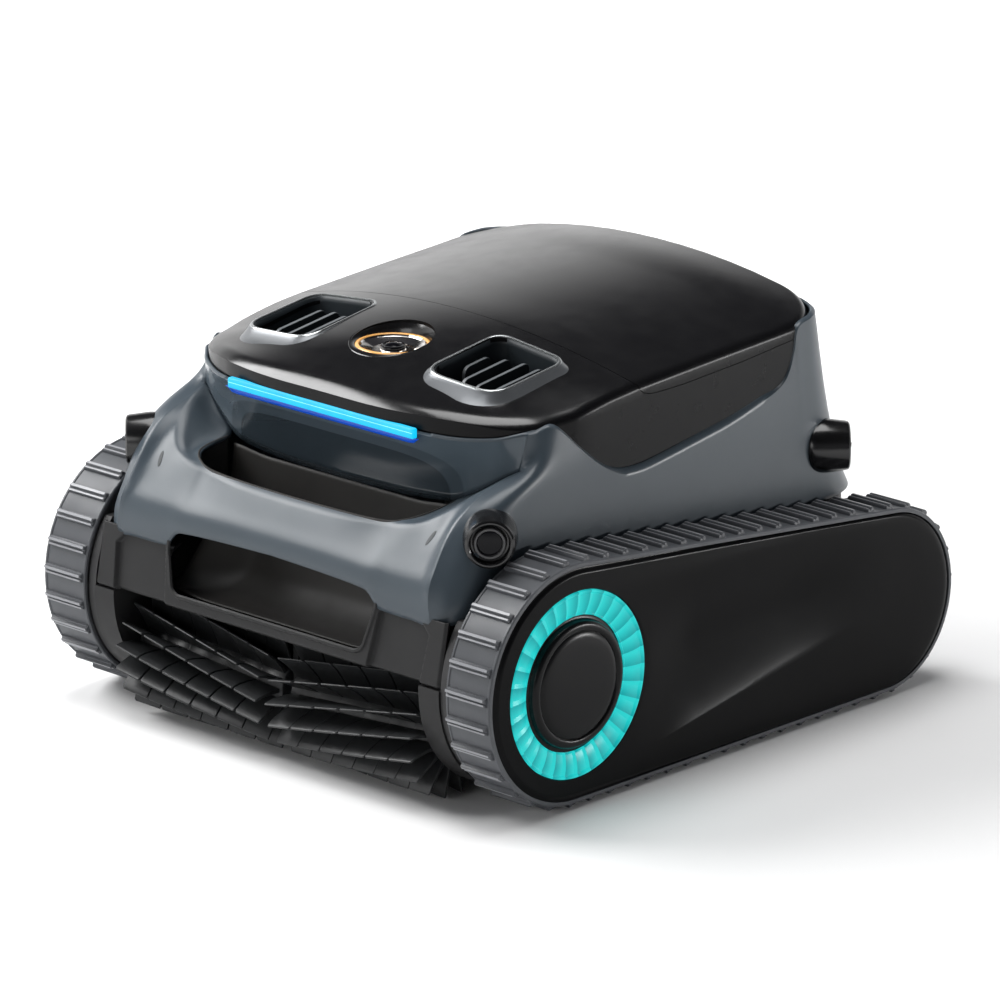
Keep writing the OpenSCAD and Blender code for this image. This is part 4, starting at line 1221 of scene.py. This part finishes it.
def loop_outline(drop, rear_n=44, front_n=56, run_n=1):
    """Smooth outline of the track, drop inside the lug tips, from the rear's foot forward over the top."""
    rear = arc(REAR_Y, REAR_R, REAR_R - drop, TOP_A - REAR_WRAP, TOP_A, rear_n)
    front = arc(AXLE_Y, FRONT_R, FRONT_R - drop, TOP_A, TOP_A + FRONT_WRAP, front_n)
    top = [tuple(Vector(rear[-1]).lerp(Vector(front[0]), t)) for t in steps(0, 1, run_n)[1:-1]]
    low = [tuple(Vector(front[-1]).lerp(Vector(rear[0]), t)) for t in steps(0, 1, run_n)[1:-1]]
    return rear + top + front + low


def make_track(side):
    """A rubber belt with double-ridged lugs and a raised lip along each edge."""
    name = "left" if side < 0 else "right"
    x0, x1 = TRACK_IN, TRACK_IN + TRACK_W
    skin = Skin()
    section = [(x0, 6), (x0, 4), (x0 + 0.7, 3.3), (x0 + 2, 3.3), (x0 + 2.6, 3.9), (x1 - 2.8, 3.9),
               (x1 - 2.2, 3.3), (x1 - 0.9, 3.3), (x1, 4), (x1, 6.4), (x1 - 1, 6.4), (x0, 6)]
    stations = [PATH * i / (LUGS * 6) for i in range(LUGS * 6)]
    belt = [[(side * x, *path_point(s, drop)) for s in stations] for x, drop in section]
    skin.grid(belt, around=True)
    ridge = [(-3.9, 4), (-3.7, 2.4), (-2.9, 2), (-2.5, 0.3), (-1.9, 0), (-0.9, 0), (-0.4, 0.5), (0, 1.7),
             (0.6, 1.9), (1.2, 1.3), (2.2, 1.2), (2.7, 1.8), (3, 4)]
    left, right_end = x0 + 2.6, x1 - 3.6
    ends = [(x0 + 1.6, 3.5), (x0 + 1.8, 0.6), (left, 0), (right_end, 0), (x1 - 2.6, 0.6), (x1 - 2.3, 3.5)]
    for i in range(LUGS):
        s = PATH * (i + 0.5) / LUGS
        skin.grid([[(side * x, *path_point(s + d, min(4, h + sink))) for d, h in ridge] for x, sink in ends])
        # Two crest strips on each lug take the lighter rubber: painted highlight along the lug tops.
        for d0, d1, h in ((-2.5, -0.7, 0), (1.15, 2.35, 1.15)):
            crest = [[(side * x, *path_point(s + d, h - 0.04)) for d in (d0, d1)] for x in (left, right_end)]
            skin.grid(crest, slot=1)
    guide = (x0 + 16, x0 + 22)
    for x in guide:
        skin.grid([[(side * x, *p) for p in loop_outline(drop)] for drop in (6, 10)], around=True)
    skin.grid([[(side * x, *p) for p in loop_outline(10)] for x in guide], around=True)
    track = skin.finish(f"track_tread_{name}", "chassis", "track_rubber", [TRACK, TREAD_HIGHLIGHT], angle=32,
                        outward=False)
    bm = bmesh.new()
    bm.from_mesh(track.data)
    bmesh.ops.recalc_face_normals(bm, faces=bm.faces)
    bm.to_mesh(track.data)
    bm.free()
    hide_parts(f"track_belt_{name}")


# ---------- side covers, light rings and hub caps ----------

COVER_IN, COVER_OUT = 211.6, 219.2
RING_R = 66.3                   # outer radius of the light ring
RING_X = 213.9                  # where the light ring and the hub cap stand


def crease_depth(y, z):
    """How far the cover's face steps in above the long crease."""
    along = (y + 92) / 225
    line = 24 + 40 * along
    above = z - line
    if above < 0:
        return 0
    fade = smooth((along + 0.02) / 0.3) * smooth((1.16 - along) / 0.5)
    return 6.8 * fade * (1 - math.exp(-above / 25)) * smooth((128 - z) / 60 + 0.3)


def cover_x(y, z, edge):
    round_off = 1.8 * (1 - smooth(edge / 5)) + 0.5 * (1 - smooth(edge / 26))
    return COVER_OUT - round_off - crease_depth(y, z) * smooth(edge / 14)


def make_cover(side):
    name = "left" if side < 0 else "right"
    skin = Skin()
    rows = []
    outer = loop_outline(6.6, 40, 90, 60)
    hub = Vector((AXLE_Y, AXLE_Z))
    ring = []
    for p in outer:
        away = (Vector(p) - hub).normalized()
        ring.append(hub + away * (RING_R + 0.35))
    for x in (COVER_IN, COVER_IN + 3, COVER_OUT - 3.2):
        rows.append([(side * x, *p) for p in outer])
    for t in [0.004, 0.012, 0.024, 0.04, 0.06, 0.085] + steps(0.12, 0.985, 70) + [1]:
        row = []
        for p, q in zip(outer, ring):
            v = Vector(p).lerp(q, t)
            reach = (Vector(p) - q).length
            row.append((side * (cover_x(v.x, v.y, reach * t) - (0.5 if t == 1 else 0)), *v))
        rows.append(row)
    rows.append([(side * (COVER_IN + 2), *q) for q in ring])
    skin.grid(rows, around=True)
    skin.grid([rows[0], [(side * COVER_IN, *q) for q in ring]], around=True)
    cover = skin.finish(f"cover_skin_{name}", "chassis", "gloss_black", [COVER], angle=50)
    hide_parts(f"side_cover_{name}")

    def put(a, b, h):
        return (side * h, AXLE_Y + a, AXLE_Z + b)

    band = Skin()
    fine = 4
    rows = []
    for r, lift in ((RING_R, 3), (RING_R, 5.2), (65.9, 5.7), (64.7, 5.7), (64.3, 5.1), (63.6, 4.9),
                    (60, 4.9), (56, 4.4), (52, 3.5), (49.6, 2.6), (48.9, 2.6), (48.3, 2.2), (48.3, 0)):
        row = []
        for i in range(FACETS * fine):
            a = 2 * math.pi * i / (FACETS * fine)
            tooth = (i % fine) / fine
            wave = 1.0 * tooth if 49 < r < 64.2 else 0
            row.append(put(r * math.cos(a), r * math.sin(a), RING_X + lift - wave))
        rows.append(row)
    band.grid(rows, around=True)
    light = band.finish(f"wheel_light_{name}", "chassis", "ring_light", [RING], angle=12)
    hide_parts(f"light_ring_{name}")

    cap = Skin()
    line = [(48.1, 0), (48.1, 1.2), (45.6, 1.2), (45.2, 1.6), (44.9, 4.6), (44.2, 5.8), (42.6, 6.7),
            (40.8, 7.0), (39.2, 6.8), (38.3, 6.1), (38, 5.7), (37.6, 5.9), (36.6, 6.6), (33, 7.1), (26, 7.4),
            (14, 7.6), (0.01, 7.7)]
    revolve(cap, [(r, RING_X + h) for r, h in line], put, 120)
    hub_piece = cap.finish(f"hub_disc_{name}", "chassis", "gloss_black", [HUB], angle=60)
    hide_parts(f"hub_cap_{name}")


# ---------- the CAD nodes that stay ----------

KEPT = {
    "CHASSIS": (CHASSIS, ("bottom_plate", "side_frame_left", "side_frame_right", "rear_panel", "track_cores",
                          "control_box")),
    "FRAME": (FRAME, ("gear_case_left", "gear_case_right", "brush_bracket")),
    "MOTOR": (MOTOR, ("drive_motors", "pump_motors")),
    "STEEL": (STEEL, ("rear_axles", "brush_axle", "chassis_screws", "lid_hinge_pins", "motor_pinion_left",
                      "motor_pinion_right")),
    "FILTER": (FILTER, ("intake_duct", "filter_tub", "filter_basket", "pump_ducts")),
    "MESH": (MESH, ("basket_mesh",)),
    "BATTERY": (BATTERY, ("battery_pack",)),
    "GASKET": (GASKET, ("lid_gasket", "intake_flap")),
    "WHEEL": (WHEEL, ("front_wheel_left", "front_wheel_right", "rear_wheel_left", "rear_wheel_right")),
    "NYLON": (NYLON, ("drive_gear_left", "drive_gear_right")),
    "IMPELLER": (IMPELLER, ("impeller_left", "impeller_right")),
}


def finish_kept_nodes():
    for material, nodes in KEPT.values():
        for node in nodes:
            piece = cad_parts[node]
            if not piece.material_slots:
                piece.data.materials.append(material)
            for place_in in piece.material_slots:
                place_in.material = material


make_strip()
make_front_frame()
make_slots()
for side in (-1, 1):
    make_brush(side)
    make_track(side)
    make_cover(side)
finish_kept_nodes()
